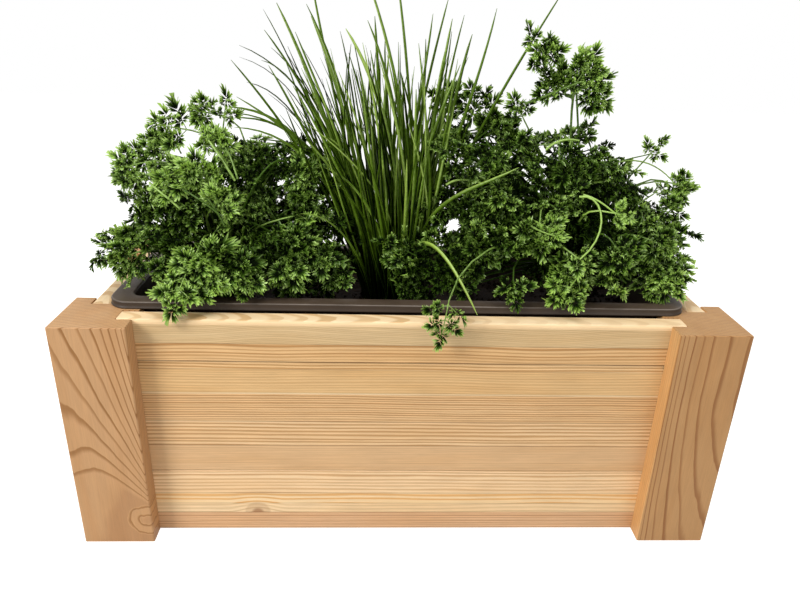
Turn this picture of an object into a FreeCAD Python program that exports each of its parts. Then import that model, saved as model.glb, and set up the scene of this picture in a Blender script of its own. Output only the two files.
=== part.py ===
import FreeCAD, Part
import math
import os
import Sketcher

# Raised garden bed: a grooved-post plank box that holds a lift-out plastic liner with soil and herbs.
# Frame: +X along the length, +Y from the front wall to the rear wall, +Z up.
# The origin lies on the ground under the middle of the box. All lengths are in millimetres.

DRIVING_SIZES = (
    # The box outside
    ("box_length", 692.0),
    ("box_depth", 292.0),
    # The five planks of every wall, from the ground up, together as high as the posts
    ("strip_height", 22.4),
    ("lower_height", 57.0),
    ("middle_height", 96.9),
    ("upper_height", 37.9),
    ("top_height", 45.8),
    ("plank_thickness", 22.0),
    # Corner posts and the grooves that take the planks' ends
    ("post_width", 75.0),
    ("post_arris", 1.6),
    ("post_top_chamfer", 0.8),
    ("post_flange", 14.0),
    ("groove_setback", 21.0),
    ("groove_side_gap", 0.25),
    ("groove_end_gap", 0.5),
    ("groove_stop", 59.0),
    # Tongues, seams and worked edges of the planks
    ("tongue_thickness", 6.0),
    ("tongue_height", 6.0),
    ("tongue_side_gap", 0.3),
    ("tongue_tip_gap", 0.7),
    ("open_seam", 1.5),
    ("tight_seam", 0.3),
    ("bevel_height", 8.0),
    ("bevel_depth", 2.0),
    ("top_arris", 3.5),
    # Wood screws that hold the planks in the grooves from inside
    ("screw_diameter", 4.0),
    ("screw_length", 30.0),
    ("screw_head_diameter", 8.0),
    ("screw_head_height", 2.4),
    ("screw_hole_gap", 0.1),
    # Moulded liner that hangs by its rim on the posts
    ("liner_end_gap", 0.5),
    ("liner_side_gap", 2.5),
    ("liner_shift", -3.5),
    ("liner_height", 180.0),
    ("liner_wall", 2.4),
    ("liner_taper", 17.0),
    ("liner_corner", 22.0),
    ("tub_corner", 12.0),
    ("rim_width", 18.5),
    ("rim_end_width", 22.0),
    ("rim_height", 8.0),
    ("rim_thickness", 2.4),
    ("rim_chamfer", 2.0),
    ("drain_diameter", 9.0),
    ("drain_pitch", 240.0),
    ("drain_row_offset", 38.0),
    # Potting soil
    ("soil_drop", 32.0),
    ("soil_gap", 0.3),
    # Chives
    ("chive_offset", -8.0),
    ("chive_clump", 30.0),
    ("chive_height", 362.0),
    ("chive_leaf", 4.6),
    ("chive_tip", 1.2),
    ("chive_spread_along", 120.0),
    ("chive_spread_across", 100.0),
    ("chive_lean", -28.0),
    # Parsley
    ("parsley_inset", 71.0),
    ("parsley_crown", 15.0),
    ("parsley_crown_height", 8.0),
    ("parsley_height", 215.0),
    ("parsley_droop", 90.0),
    ("parsley_spread_along", 120.0),
    ("parsley_spread_across", 116.0),
    ("parsley_head", 34.0),
    ("parsley_stem", 3.6),
    ("tall_sprig", 272.0),
    ("middle_sprig", 246.0),
)
# Sprigs above a parsley plant's dome: along and across from its middle, and the size that gives the height
LEFT_SPRIGS = ((30.0, 12.0, "middle_sprig"),)
RIGHT_SPRIGS = ((-22.0, 0.0, "tall_sprig"), (-72.0, 14.0, "middle_sprig"))
# Counts, which aren't lengths
CHIVE_LEAVES = 64
CHIVE_RINGS = 5
PARSLEY_HEADS = 32
PARSLEY_LOBES = 6
STEM_RINGS = 4
SCREW_SIDES = 8
CROWN_SIDES = 12
DRAINS_PER_ROW = 2
GOLDEN_ANGLE = math.pi * (3.0 - math.sqrt(5.0))

# Lengths that follow from the driving sizes, as expressions
INNER_LENGTH = "(Sizes.box_length - 2 * (Sizes.groove_setback + Sizes.plank_thickness))"
INNER_DEPTH = "(Sizes.box_depth - 2 * (Sizes.groove_setback + Sizes.plank_thickness))"
RIM_LENGTH = f"({INNER_LENGTH} - 2 * Sizes.liner_end_gap)"
RIM_DEPTH = f"({INNER_DEPTH} - 2 * Sizes.liner_side_gap)"
MOUTH_LENGTH = f"({RIM_LENGTH} - 2 * Sizes.rim_end_width)"
MOUTH_DEPTH = f"({RIM_DEPTH} - 2 * Sizes.rim_width)"
PLANK_HEIGHTS = ("strip_height", "lower_height", "middle_height", "upper_height", "top_height")
BOX_HEIGHT = "(" + " + ".join(f"Sizes.{height}" for height in PLANK_HEIGHTS) + ")"
RIM_TOP = f"({BOX_HEIGHT} + Sizes.rim_height)"

document = FreeCAD.newDocument("RaisedGardenBed")
sheet = document.addObject("Spreadsheet::Sheet", "Sizes")
for row, (alias, value) in enumerate(DRIVING_SIZES, start=1):
    sheet.set(f"A{row}", alias)
    sheet.set(f"B{row}", str(value))
    sheet.setAlias(f"B{row}", alias)
document.recompute()

nodes = []


def size(alias):
    """A driving size, read from the sheet."""
    return float(sheet.get(alias))


def keep(piece, label):
    """Registers a finished sub-part under its node name."""
    piece.Label = label
    nodes.append(piece)
    return piece


def sketch_on(body, name, role, height=None):
    """A sketch on one of the body's own origin planes, raised by an expression where one is given."""
    sketch = body.newObject("Sketcher::SketchObject", name)
    plane = next(feature for feature in body.Origin.OriginFeatures if feature.Role == role)
    sketch.AttachmentSupport = [(plane, "")]
    sketch.MapMode = "FlatFace"
    if height:
        sketch.setExpression("AttachmentOffset.Base.z", height)
    return sketch


def dimension(sketch, constraint, expression):
    """Adds a dimension that follows an expression."""
    index = sketch.addConstraint(constraint)
    sketch.setExpression(f"Constraints[{index}]", expression)


def draw_outline(sketch, corners):
    """A closed straight-sided profile, each corner dimensioned across and up from the sketch's origin."""
    rough_radius = 50.0
    rough_dimension = 10.0
    count = len(corners)
    rough = []
    for number in range(count):
        turn = -2.0 * math.pi * number / count
        rough.append(FreeCAD.Vector(rough_radius * math.cos(turn), rough_radius * math.sin(turn), 0))
    for number in range(count):
        sketch.addGeometry(Part.LineSegment(rough[number], rough[(number + 1) % count]), False)
    for number in range(count):
        following = (number + 1) % count
        sketch.addConstraint(Sketcher.Constraint("Coincident", number, 2, following, 1))
    for number, (across, up) in enumerate(corners):
        for kind, axis, expression in (("DistanceX", -2, across), ("DistanceY", -1, up)):
            if expression == "0":
                sketch.addConstraint(Sketcher.Constraint("PointOnObject", number, 1, axis))
            else:
                rule = Sketcher.Constraint(kind, -1, 1, number, 1, rough_dimension)
                dimension(sketch, rule, expression)


def draw_rounded_rectangle(sketch, length, depth, corner, first=0):
    """A rectangle with rounded corners, centred on the sketch's origin, as edges first to first + 7."""
    half_length, half_depth, radius = 200.0, 100.0, 10.0
    inner_x = half_length - radius
    inner_y = half_depth - radius
    point = FreeCAD.Vector
    sides = (
        (point(-inner_x, -half_depth), point(inner_x, -half_depth)),
        (point(half_length, -inner_y), point(half_length, inner_y)),
        (point(inner_x, half_depth), point(-inner_x, half_depth)),
        (point(-half_length, inner_y), point(-half_length, -inner_y)),
    )
    centres = (
        point(inner_x, -inner_y),
        point(inner_x, inner_y),
        point(-inner_x, inner_y),
        point(-inner_x, -inner_y),
    )
    for start, end in sides:
        sketch.addGeometry(Part.LineSegment(start, end), False)
    for quarter, centre in enumerate(centres):
        begin = (quarter - 1) * math.pi / 2
        circle = Part.Circle(centre, point(0, 0, 1), radius)
        sketch.addGeometry(Part.ArcOfCircle(circle, begin, begin + math.pi / 2), False)
    arcs = first + 4
    for side in range(4):
        direction = "Horizontal" if side % 2 == 0 else "Vertical"
        following = first + (side + 1) % 4
        sketch.addConstraint(Sketcher.Constraint("Tangent", first + side, 2, arcs + side, 1))
        sketch.addConstraint(Sketcher.Constraint("Tangent", arcs + side, 2, following, 1))
        sketch.addConstraint(Sketcher.Constraint(direction, first + side))
        if side:
            sketch.addConstraint(Sketcher.Constraint("Equal", arcs, arcs + side))
    sketch.addConstraint(Sketcher.Constraint("Symmetric", arcs, 3, arcs + 2, 3, -1, 1))
    across = Sketcher.Constraint("DistanceX", first + 3, 1, first + 1, 1, 2 * half_length)
    along = Sketcher.Constraint("DistanceY", first, 1, first + 2, 1, 2 * half_depth)
    dimension(sketch, across, length)
    dimension(sketch, along, depth)
    dimension(sketch, Sketcher.Constraint("Radius", arcs, radius), corner)


def place(piece, x="0", y="0", z="0", turn=0.0):
    """Puts a piece at a point given by expressions, turned about the vertical by degrees."""
    piece.Placement = FreeCAD.Placement(FreeCAD.Vector(), FreeCAD.Rotation(FreeCAD.Vector(0, 0, 1), turn))
    for axis, expression in (("x", x), ("y", y), ("z", z)):
        piece.setExpression(f"Placement.Base.{axis}", expression)


def edges_where(shape, test):
    """Names of the edges whose bounding box passes a test."""
    return [f"Edge{number}" for number, edge in enumerate(shape.Edges, start=1) if test(edge.BoundBox)]


def near(first, second):
    """True where two lengths agree."""
    return abs(first - second) < 1e-4


def round_edges(body, feature, name, test, radius):
    """A fillet along the feature's edges that pass a test."""
    document.recompute()
    fillet = body.newObject("PartDesign::Fillet", name)
    fillet.Base = (feature, edges_where(feature.Shape, test))
    fillet.setExpression("Radius", radius)
    return fillet


def make_post(name):
    """A square post, outer corner at its origin, grooved in both inner sides and rebated between them."""
    body = document.addObject("PartDesign::Body", f"{name}_blank")
    sketch = sketch_on(body, f"{name}_section", "XY_Plane")
    side = "Sizes.post_width"
    near_wall = "Sizes.groove_setback - Sizes.groove_side_gap"
    far_wall = "Sizes.groove_setback + Sizes.plank_thickness + Sizes.groove_side_gap"
    groove_floor = "Sizes.groove_stop - Sizes.groove_end_gap"
    rebate = "Sizes.groove_setback + Sizes.plank_thickness + Sizes.post_flange"
    first_half = [
        (side, "0"),
        (side, near_wall),
        (groove_floor, near_wall),
        (groove_floor, far_wall),
        (side, far_wall),
        (side, rebate),
    ]
    second_half = [(up, across) for across, up in reversed(first_half)]
    draw_outline(sketch, [("0", "0")] + first_half + [(rebate, rebate)] + second_half)
    pad = body.newObject("PartDesign::Pad", f"{name}_length")
    pad.Profile = sketch
    pad.setExpression("Length", BOX_HEIGHT)
    width = size("post_width")

    def outer_arris(box):
        upright = box.ZLength > max(box.XLength, box.YLength)
        corners = ((0.0, 0.0), (width, 0.0), (0.0, width))
        return upright and any(near(box.XMin, x) and near(box.YMin, y) for x, y in corners)

    arris = round_edges(body, pad, f"{name}_arris", outer_arris, "Sizes.post_arris")
    document.recompute()
    height = pad.Shape.BoundBox.ZMax
    reach = size("post_arris")

    def outer_top(box):
        return near(box.ZMin, height) and (box.XMax <= reach + 1e-4 or box.YMax <= reach + 1e-4)

    chamfer = body.newObject("PartDesign::Chamfer", f"{name}_top")
    chamfer.Base = (arris, edges_where(arris.Shape, outer_top))
    chamfer.setExpression("Size", "Sizes.post_top_chamfer")
    return body


def make_plank(name, height, length, lower_seam, upper_bevel, has_groove, has_tongue):
    """A plank along X about its origin, its face towards -Y, grooved below and tongued above."""
    body = document.addObject("PartDesign::Body", f"{name}_blank")
    sketch = sketch_on(body, f"{name}_section", "YZ_Plane")
    thickness = "Sizes.plank_thickness"
    bevel_up, bevel_in = upper_bevel
    tongue_front = "(Sizes.plank_thickness - Sizes.tongue_thickness) / 2"
    tongue_back = "(Sizes.plank_thickness + Sizes.tongue_thickness) / 2"
    slot_front = f"{tongue_front} - Sizes.tongue_side_gap"
    slot_back = f"{tongue_back} + Sizes.tongue_side_gap"
    slot_depth = "Sizes.tongue_height + Sizes.tongue_tip_gap"
    back_seam = "Sizes.tight_seam"
    corners = [("0", lower_seam)]
    if has_tongue:
        tip = f"{height} + Sizes.tongue_height"
        corners += [("0", f"{height} - {bevel_up}"), (bevel_in, height)]
        corners += [(tongue_front, height), (tongue_front, tip), (tongue_back, tip), (tongue_back, height)]
        corners += [(f"{thickness} - {back_seam}", height), (thickness, f"{height} - {back_seam}")]
    else:
        corners += [("0", height), (thickness, height)]
    corners += [(thickness, back_seam), (f"{thickness} - {back_seam}", "0")]
    if has_groove:
        corners += [(slot_back, "0"), (slot_back, slot_depth), (slot_front, slot_depth), (slot_front, "0")]
    corners += [(lower_seam, "0")]
    draw_outline(sketch, corners)
    pad = body.newObject("PartDesign::Pad", f"{name}_length")
    pad.Profile = sketch
    pad.SideType = "Symmetric"
    pad.setExpression("Length", length)
    if not has_tongue:
        document.recompute()
        top = pad.Shape.BoundBox.ZMax

        def top_arris(box):
            return box.XLength > box.YLength and near(box.ZMin, top)

        round_edges(body, pad, f"{name}_arris", top_arris, "Sizes.top_arris")
    return body


def screw_seats():
    """The point under each screw's head, on a post's flange, and the outward direction it is driven in."""
    half_length = size("box_length") / 2
    half_depth = size("box_depth") / 2
    flange = size("groove_setback") + size("plank_thickness") + size("post_flange")
    across = (size("post_width") + size("groove_stop")) / 2
    lower = size("strip_height") + size("lower_height") / 2
    below_upper = size("strip_height") + size("lower_height") + size("middle_height")
    seats = []
    for height in (lower, below_upper + size("upper_height") / 2):
        for x_side in (-1, 1):
            for y_side in (-1, 1):
                long_wall_x = x_side * (half_length - across)
                long_wall_y = y_side * (half_depth - flange)
                short_wall_x = x_side * (half_length - flange)
                short_wall_y = y_side * (half_depth - across)
                long_wall_seat = FreeCAD.Vector(long_wall_x, long_wall_y, height)
                short_wall_seat = FreeCAD.Vector(short_wall_x, short_wall_y, height)
                seats.append((long_wall_seat, FreeCAD.Vector(0, y_side, 0)))
                seats.append((short_wall_seat, FreeCAD.Vector(x_side, 0, 0)))
    return seats


def faceted_bar(seat, direction, radius, length):
    """An upright-sided bar whose flats lie at the radius, from a point along a level direction."""
    across = direction.cross(FreeCAD.Vector(0, 0, 1))
    corner_radius = radius / math.cos(math.pi / SCREW_SIDES)
    corners = []
    for corner in range(SCREW_SIDES):
        turn = 2.0 * math.pi * (corner + 0.5) / SCREW_SIDES
        reach = across * math.cos(turn) + FreeCAD.Vector(0, 0, math.sin(turn))
        corners.append(seat + reach * corner_radius)
    return Part.Face(Part.makePolygon(corners + corners[:1])).extrude(direction * length)


def make_screw(seat, direction):
    """A wood screw with a flat-seated head, in few faces."""
    shank = faceted_bar(seat, direction, size("screw_diameter") / 2, size("screw_length"))
    head_height = size("screw_head_height")
    head_seat = seat - direction * head_height
    head = faceted_bar(head_seat, direction, size("screw_head_diameter") / 2, head_height)
    return head.fuse(shank)


def make_drilling():
    """The holes that the screws sit in, through the flange and into the plank."""
    radius = size("screw_diameter") / 2 + size("screw_hole_gap")
    depth = size("screw_length") + size("screw_hole_gap")
    holes = [faceted_bar(seat, direction, radius, depth) for seat, direction in screw_seats()]
    drilling = document.addObject("Part::Feature", "screw_holes")
    drilling.Shape = Part.makeCompound(holes)
    return drilling


def drill(blank, label):
    """The blank with the screw holes cut through it."""
    cut = document.addObject("Part::Cut", label)
    cut.Base = blank
    cut.Tool = drilling
    return keep(cut, label)


def loft_between(body, kind, name, lower, upper):
    """A straight-sided loft between two sketches."""
    loft = body.newObject(f"PartDesign::{kind}Loft", name)
    loft.Profile = lower
    loft.Sections = [upper]
    loft.Ruled = True
    document.recompute()
    return loft


def make_liner():
    """A tapered tub with a down-turned rim and rows of drain holes, made like a moulded window box."""
    body = document.addObject("PartDesign::Body", "planter_liner")
    wall = "2 * Sizes.liner_wall"
    taper = "2 * Sizes.liner_taper"
    base = f"({RIM_TOP} - Sizes.liner_height)"
    outer_low = sketch_on(body, "tub_base", "XY_Plane", base)
    outer_high = sketch_on(body, "tub_top", "XY_Plane", RIM_TOP)
    outer_corner = "Sizes.tub_corner + Sizes.liner_wall"
    draw_rounded_rectangle(
        outer_low, f"{MOUTH_LENGTH} + {wall} - {taper}", f"{MOUTH_DEPTH} + {wall} - {taper}", outer_corner
    )
    draw_rounded_rectangle(outer_high, f"{MOUTH_LENGTH} + {wall}", f"{MOUTH_DEPTH} + {wall}", outer_corner)
    document.recompute()
    loft_between(body, "Additive", "tub", outer_low, outer_high)

    rim_outline = sketch_on(body, "rim_outline", "XY_Plane", BOX_HEIGHT)
    draw_rounded_rectangle(rim_outline, RIM_LENGTH, RIM_DEPTH, "Sizes.liner_corner")
    rim = body.newObject("PartDesign::Pad", "rim")
    rim.Profile = rim_outline
    rim.setExpression("Length", "Sizes.rim_height")
    document.recompute()

    channel_outline = sketch_on(body, "rim_channel_outline", "XY_Plane", BOX_HEIGHT)
    lip = "2 * Sizes.rim_thickness"
    lip_corner = "Sizes.liner_corner - Sizes.rim_thickness"
    draw_rounded_rectangle(channel_outline, f"{RIM_LENGTH} - {lip}", f"{RIM_DEPTH} - {lip}", lip_corner)
    draw_rounded_rectangle(
        channel_outline, f"{MOUTH_LENGTH} + {wall}", f"{MOUTH_DEPTH} + {wall}", outer_corner, first=8
    )
    solid_volume = body.Shape.Volume
    channel = body.newObject("PartDesign::Pocket", "rim_channel")
    channel.Profile = channel_outline
    channel.Reversed = True
    channel.setExpression("Length", "Sizes.rim_height - Sizes.rim_thickness")
    document.recompute()
    channelled_volume = body.Shape.Volume

    inner_low = sketch_on(body, "tub_floor", "XY_Plane", f"{base} + Sizes.liner_wall")
    inner_high = sketch_on(body, "mouth", "XY_Plane", RIM_TOP)
    floor_taper = f"{taper} * (1 - Sizes.liner_wall / Sizes.liner_height)"
    draw_rounded_rectangle(
        inner_low, f"{MOUTH_LENGTH} - {floor_taper}", f"{MOUTH_DEPTH} - {floor_taper}", "Sizes.tub_corner"
    )
    draw_rounded_rectangle(inner_high, MOUTH_LENGTH, MOUTH_DEPTH, "Sizes.tub_corner")
    document.recompute()
    inside = loft_between(body, "Subtractive", "inside", inner_low, inner_high)
    hollow_volume = body.Shape.Volume

    rim_top = inside.Shape.BoundBox.ZMax
    rim_length = inside.Shape.BoundBox.XLength
    mouth_half = rim_length / 2 - size("rim_end_width")

    def rim_edge(box):
        outermost = max(abs(box.XMin), abs(box.XMax)) > mouth_half + 1.0
        wide = box.YLength > size("liner_corner") or box.XLength > size("liner_corner")
        far_out = box.YMax > wide_half or box.YMin < -wide_half
        return near(box.ZMin, rim_top) and (outermost or (wide and far_out))

    wide_half = inside.Shape.BoundBox.YLength / 2 - 1.0
    arris = body.newObject("PartDesign::Chamfer", "rim_arris")
    arris.Base = (inside, edges_where(inside.Shape, rim_edge))
    arris.setExpression("Size", "Sizes.rim_chamfer")
    document.recompute()

    drain_outline = sketch_on(body, "drain_outline", "XY_Plane", base)
    drains = 2 * DRAINS_PER_ROW
    for number in range(drains):
        column = number // 2 - (DRAINS_PER_ROW - 1) / 2
        row = 1 if number % 2 else -1
        centre = FreeCAD.Vector(column * size("drain_pitch"), row * size("drain_row_offset"), 0)
        drain = Part.Circle(centre, FreeCAD.Vector(0, 0, 1), size("drain_diameter") / 2)
        drain_outline.addGeometry(drain, False)
        rule = Sketcher.Constraint("DistanceY", -1, 1, number, 3, centre.y)
        dimension(drain_outline, rule, f"{row} * Sizes.drain_row_offset")
        if column:
            rule = Sketcher.Constraint("DistanceX", -1, 1, number, 3, centre.x)
            dimension(drain_outline, rule, f"{column} * Sizes.drain_pitch")
        else:
            drain_outline.addConstraint(Sketcher.Constraint("PointOnObject", number, 3, -2))
        rule = Sketcher.Constraint("Diameter", number, size("drain_diameter"))
        dimension(drain_outline, rule, "Sizes.drain_diameter")
    rimmed_volume = arris.Shape.Volume
    holes = body.newObject("PartDesign::Pocket", "drain_holes")
    holes.Profile = drain_outline
    holes.Reversed = True
    holes.setExpression("Length", "2 * Sizes.liner_wall")
    document.recompute()
    if not solid_volume > channelled_volume > hollow_volume > rimmed_volume > body.Shape.Volume:
        raise RuntimeError("a cut of the liner removed nothing")
    place(body, x="Sizes.liner_shift")
    return keep(body, "planter_liner")


def make_soil():
    """Soil that fills the tub up to a little below the rim."""
    body = document.addObject("PartDesign::Body", "potting_soil")
    gap = "2 * Sizes.soil_gap"
    bottom = f"({RIM_TOP} - Sizes.liner_height + Sizes.liner_wall)"
    top = f"({RIM_TOP} - Sizes.soil_drop)"
    low_taper = "2 * Sizes.liner_taper * (1 - Sizes.liner_wall / Sizes.liner_height)"
    high_taper = "2 * Sizes.liner_taper * Sizes.soil_drop / Sizes.liner_height"
    low = sketch_on(body, "soil_bottom", "XY_Plane", bottom)
    high = sketch_on(body, "soil_top", "XY_Plane", top)
    for sketch, taper in ((low, low_taper), (high, high_taper)):
        length = f"{MOUTH_LENGTH} - {taper} - {gap}"
        depth = f"{MOUTH_DEPTH} - {taper} - {gap}"
        draw_rounded_rectangle(sketch, length, depth, "Sizes.tub_corner")
    document.recompute()
    loft_between(body, "Additive", "soil_fill", low, high)
    place(body, x="Sizes.liner_shift")
    return keep(body, "potting_soil")


def flat_face(*corners):
    """A flat face through three or four corners."""
    return Part.Face(Part.makePolygon(list(corners) + [corners[0]]))


def closed_solid(faces):
    """The solid that a closed set of faces encloses."""
    solid = Part.makeSolid(Part.makeShell(faces))
    if solid.Volume < 0:
        solid.reverse()
    return solid


def tapered_shoot(path, widths):
    """A three-sided shoot through level triangles at the path's points, so that every side is flat."""
    rings = []
    for point, width in zip(path, widths):
        corners = []
        for corner in range(3):
            turn = 2.0 * math.pi * corner / 3
            corners.append(point + FreeCAD.Vector(math.cos(turn), math.sin(turn), 0) * (width / 2))
        rings.append(corners)
    faces = [flat_face(*rings[0]), flat_face(*rings[-1])]
    for lower, upper in zip(rings, rings[1:]):
        for corner in range(3):
            following = (corner + 1) % 3
            faces.append(flat_face(lower[corner], lower[following], upper[following], upper[corner]))
    return closed_solid(faces)


def faceted_crown(middle, radius, height):
    """The low many-sided root crown that a plant's shoots grow from."""
    corners = []
    for corner in range(CROWN_SIDES):
        turn = 2.0 * math.pi * corner / CROWN_SIDES
        corners.append(middle + FreeCAD.Vector(math.cos(turn), math.sin(turn), 0) * radius)
    return flat_face(*corners).extrude(FreeCAD.Vector(0, 0, height))


def make_chives(soil_top):
    """A clump of upright leaves on a golden-angle spiral, the outer ones leaning out the most."""
    middle = FreeCAD.Vector(size("chive_offset"), 0, soil_top)
    clump = size("chive_clump")
    crown_height = 2 * size("chive_leaf")
    shoots = []
    for number in range(CHIVE_LEAVES):
        share = math.sqrt((number + 0.5) / CHIVE_LEAVES)
        turn = number * GOLDEN_ANGLE
        foot_x = clump * share * math.cos(turn)
        foot_y = clump * share * math.sin(turn)
        reach_x = size("chive_spread_along") * share * math.cos(turn) + size("chive_lean")
        reach_y = size("chive_spread_across") * share * math.sin(turn)
        height = size("chive_height") * (1.0 - 0.3 * share * share - 0.12 * math.sin(5.0 * number) ** 2)
        path = []
        widths = []
        for ring in range(CHIVE_RINGS):
            rise = ring / (CHIVE_RINGS - 1)
            bend = rise**1.6
            along = foot_x + reach_x * bend
            across = foot_y + reach_y * bend
            path.append(middle + FreeCAD.Vector(along, across, crown_height / 2 + height * rise))
            widths.append(size("chive_leaf") + (size("chive_tip") - size("chive_leaf")) * rise**2)
        shoots.append(tapered_shoot(path, widths))
    crown = faceted_crown(middle, clump + size("chive_leaf"), crown_height)
    chives = document.addObject("Part::Feature", "chives")
    chives.Shape = crown.multiFuse(shoots)
    return keep(chives, "chives")


def leaf_head(centre, outward, radius, turn):
    """A star-shaped leaf head, its lobes drooping round an axis that points outwards."""
    side = outward.cross(FreeCAD.Vector(0, 0, 1))
    if side.Length < 1e-3:
        side = FreeCAD.Vector(1, 0, 0)
    side.normalize()
    other = outward.cross(side)
    rim = []
    for corner in range(2 * PARSLEY_LOBES):
        lobe = corner % 2 == 0
        angle = turn + math.pi * corner / PARSLEY_LOBES
        reach = radius if lobe else 0.58 * radius
        droop = 0.28 * radius if lobe else 0.0
        around = side * (reach * math.cos(angle)) + other * (reach * math.sin(angle))
        rim.append(centre + around - outward * droop)
    top = centre + outward * (0.3 * radius)
    bottom = centre - outward * (0.55 * radius)
    faces = []
    for corner in range(len(rim)):
        following = (corner + 1) % len(rim)
        faces.append(flat_face(rim[corner], rim[following], top))
        faces.append(flat_face(rim[corner], rim[following], bottom))
    return closed_solid(faces)


def parsley_heads(rim_top, soil_top):
    """Place from the plant's middle, outward direction and turn of each leaf head of the dome."""
    lowest_level = -0.2
    dome_foot = rim_top + size("parsley_head") - lowest_level * size("parsley_droop")
    dome_height = soil_top + size("parsley_height") - dome_foot
    heads = []
    for number in range(PARSLEY_HEADS):
        level = 1.0 - (1.0 - lowest_level) * (number + 0.5) / PARSLEY_HEADS
        ring = math.sqrt(1.0 - level * level)
        turn = number * GOLDEN_ANGLE
        outward = FreeCAD.Vector(ring * math.cos(turn), ring * math.sin(turn), level)
        along = size("parsley_spread_along") * outward.x
        across = size("parsley_spread_across") * outward.y
        rise = dome_foot + level * (dome_height if level > 0 else size("parsley_droop")) - soil_top
        heads.append((FreeCAD.Vector(along, across, rise), outward, turn))
    return heads


def sprig_heads(sprigs):
    """The same for the sprigs that stand above the dome, whose heads face up."""
    upward = FreeCAD.Vector(0, 0, 1)
    return [(FreeCAD.Vector(along, across, size(rise)), upward, along) for along, across, rise in sprigs]


def make_parsley(label, middle_x, soil_top, rim_top, sprigs):
    """A crown with stems that fan out to leaf heads on a dome above the rim and to a few taller sprigs."""
    crown_radius = size("parsley_crown")
    crown_height = size("parsley_crown_height")
    middle = FreeCAD.Vector(middle_x, 0, soil_top)
    pieces = []
    for place_from_middle, outward, turn in parsley_heads(rim_top, soil_top) + sprig_heads(sprigs):
        centre = middle + place_from_middle
        foot = middle + FreeCAD.Vector(outward.x, outward.y, 0) * (0.7 * crown_radius)
        path = []
        widths = []
        for step in range(STEM_RINGS):
            share = step / (STEM_RINGS - 1)
            point = foot + (centre - foot) * (share**1.5)
            point.z = foot.z + crown_height / 2 + (centre.z - foot.z - crown_height / 2) * share
            path.append(point)
            widths.append(size("parsley_stem") * (1.0 - 0.5 * share))
        pieces.append(tapered_shoot(path, widths))
        pieces.append(leaf_head(centre, outward, size("parsley_head"), turn))
    crown = faceted_crown(middle, crown_radius, crown_height)
    parsley = document.addObject("Part::Feature", label)
    parsley.Shape = crown.multiFuse(pieces)
    return keep(parsley, label)


drilling = make_drilling()

half_length = "Sizes.box_length / 2"
half_depth = "Sizes.box_depth / 2"
for label, x_sign, y_sign, turn in (
    ("post_front_left", "-", "-", 0.0),
    ("post_front_right", "", "-", 90.0),
    ("post_rear_right", "", "", 180.0),
    ("post_rear_left", "-", "", 270.0),
):
    post = make_post(label)
    place(post, x=x_sign + half_length, y=y_sign + half_depth, turn=turn)
    drill(post, label)

long_wall = "Sizes.box_length - 2 * Sizes.groove_stop"
short_wall = "Sizes.box_depth - 2 * Sizes.groove_stop"
tight_bevel = ("Sizes.tight_seam", "Sizes.tight_seam")
open_bevel = ("Sizes.open_seam", "Sizes.open_seam")
wide_bevel = ("Sizes.bevel_height", "Sizes.bevel_depth")
for wall, x, y, turn, length in (
    ("front", "0", f"-({half_depth} - Sizes.groove_setback)", 0.0, long_wall),
    ("right", f"{half_length} - Sizes.groove_setback", "0", 90.0, short_wall),
    ("rear", "0", f"{half_depth} - Sizes.groove_setback", 180.0, long_wall),
    ("left", f"-({half_length} - Sizes.groove_setback)", "0", 270.0, short_wall),
):
    foot = "0"
    for plank, height, lower_seam, upper_bevel, has_groove, has_tongue, is_screwed in (
        ("strip", "strip_height", "Sizes.tight_seam", tight_bevel, False, True, False),
        ("lower_plank", "lower_height", "Sizes.tight_seam", open_bevel, True, True, True),
        ("middle_plank", "middle_height", "Sizes.open_seam", tight_bevel, True, True, False),
        ("upper_plank", "upper_height", "Sizes.tight_seam", wide_bevel, True, True, True),
        ("top_plank", "top_height", "Sizes.tight_seam", tight_bevel, True, False, False),
    ):
        label = f"{wall}_{plank}"
        tall = f"Sizes.{height}"
        blank = make_plank(label, tall, length, lower_seam, upper_bevel, has_groove, has_tongue)
        place(blank, x=x, y=y, z=foot, turn=turn)
        if is_screwed:
            drill(blank, label)
        else:
            keep(blank, label)
        foot = f"{foot} + Sizes.{height}"

screws = document.addObject("Part::Feature", "corner_screws")
screws.Shape = Part.makeCompound([make_screw(seat, direction) for seat, direction in screw_seats()])
keep(screws, "corner_screws")

liner = make_liner()
soil = make_soil()
document.recompute()
soil_top = soil.Shape.BoundBox.ZMax
rim_top = liner.Shape.BoundBox.ZMax
parsley_place = liner.Shape.BoundBox.XLength / 2 - size("rim_end_width") - size("parsley_inset")
make_chives(soil_top)
make_parsley("parsley_left", -parsley_place, soil_top, rim_top, LEFT_SPRIGS)
make_parsley("parsley_right", parsley_place, soil_top, rim_top, RIGHT_SPRIGS)
document.recompute()

for item in document.Objects:
    if "Invalid" in item.State or "Error" in item.State:
        raise RuntimeError(f"{item.Label} failed: {item.State}")
for node in nodes:
    if node.Shape.isNull() or not node.Shape.isValid():
        raise RuntimeError(f"{node.Label} has no valid shape")

os.makedirs("parts", exist_ok=True)
for node in nodes:
    node.Shape.exportStep(f"parts/{node.Label}.step")
    print(node.Label, len(node.Shape.Solids), round(node.Shape.Volume))
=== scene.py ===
import math

import bmesh
import bpy
import numpy as np
from mathutils import Matrix, Vector, noise


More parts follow.
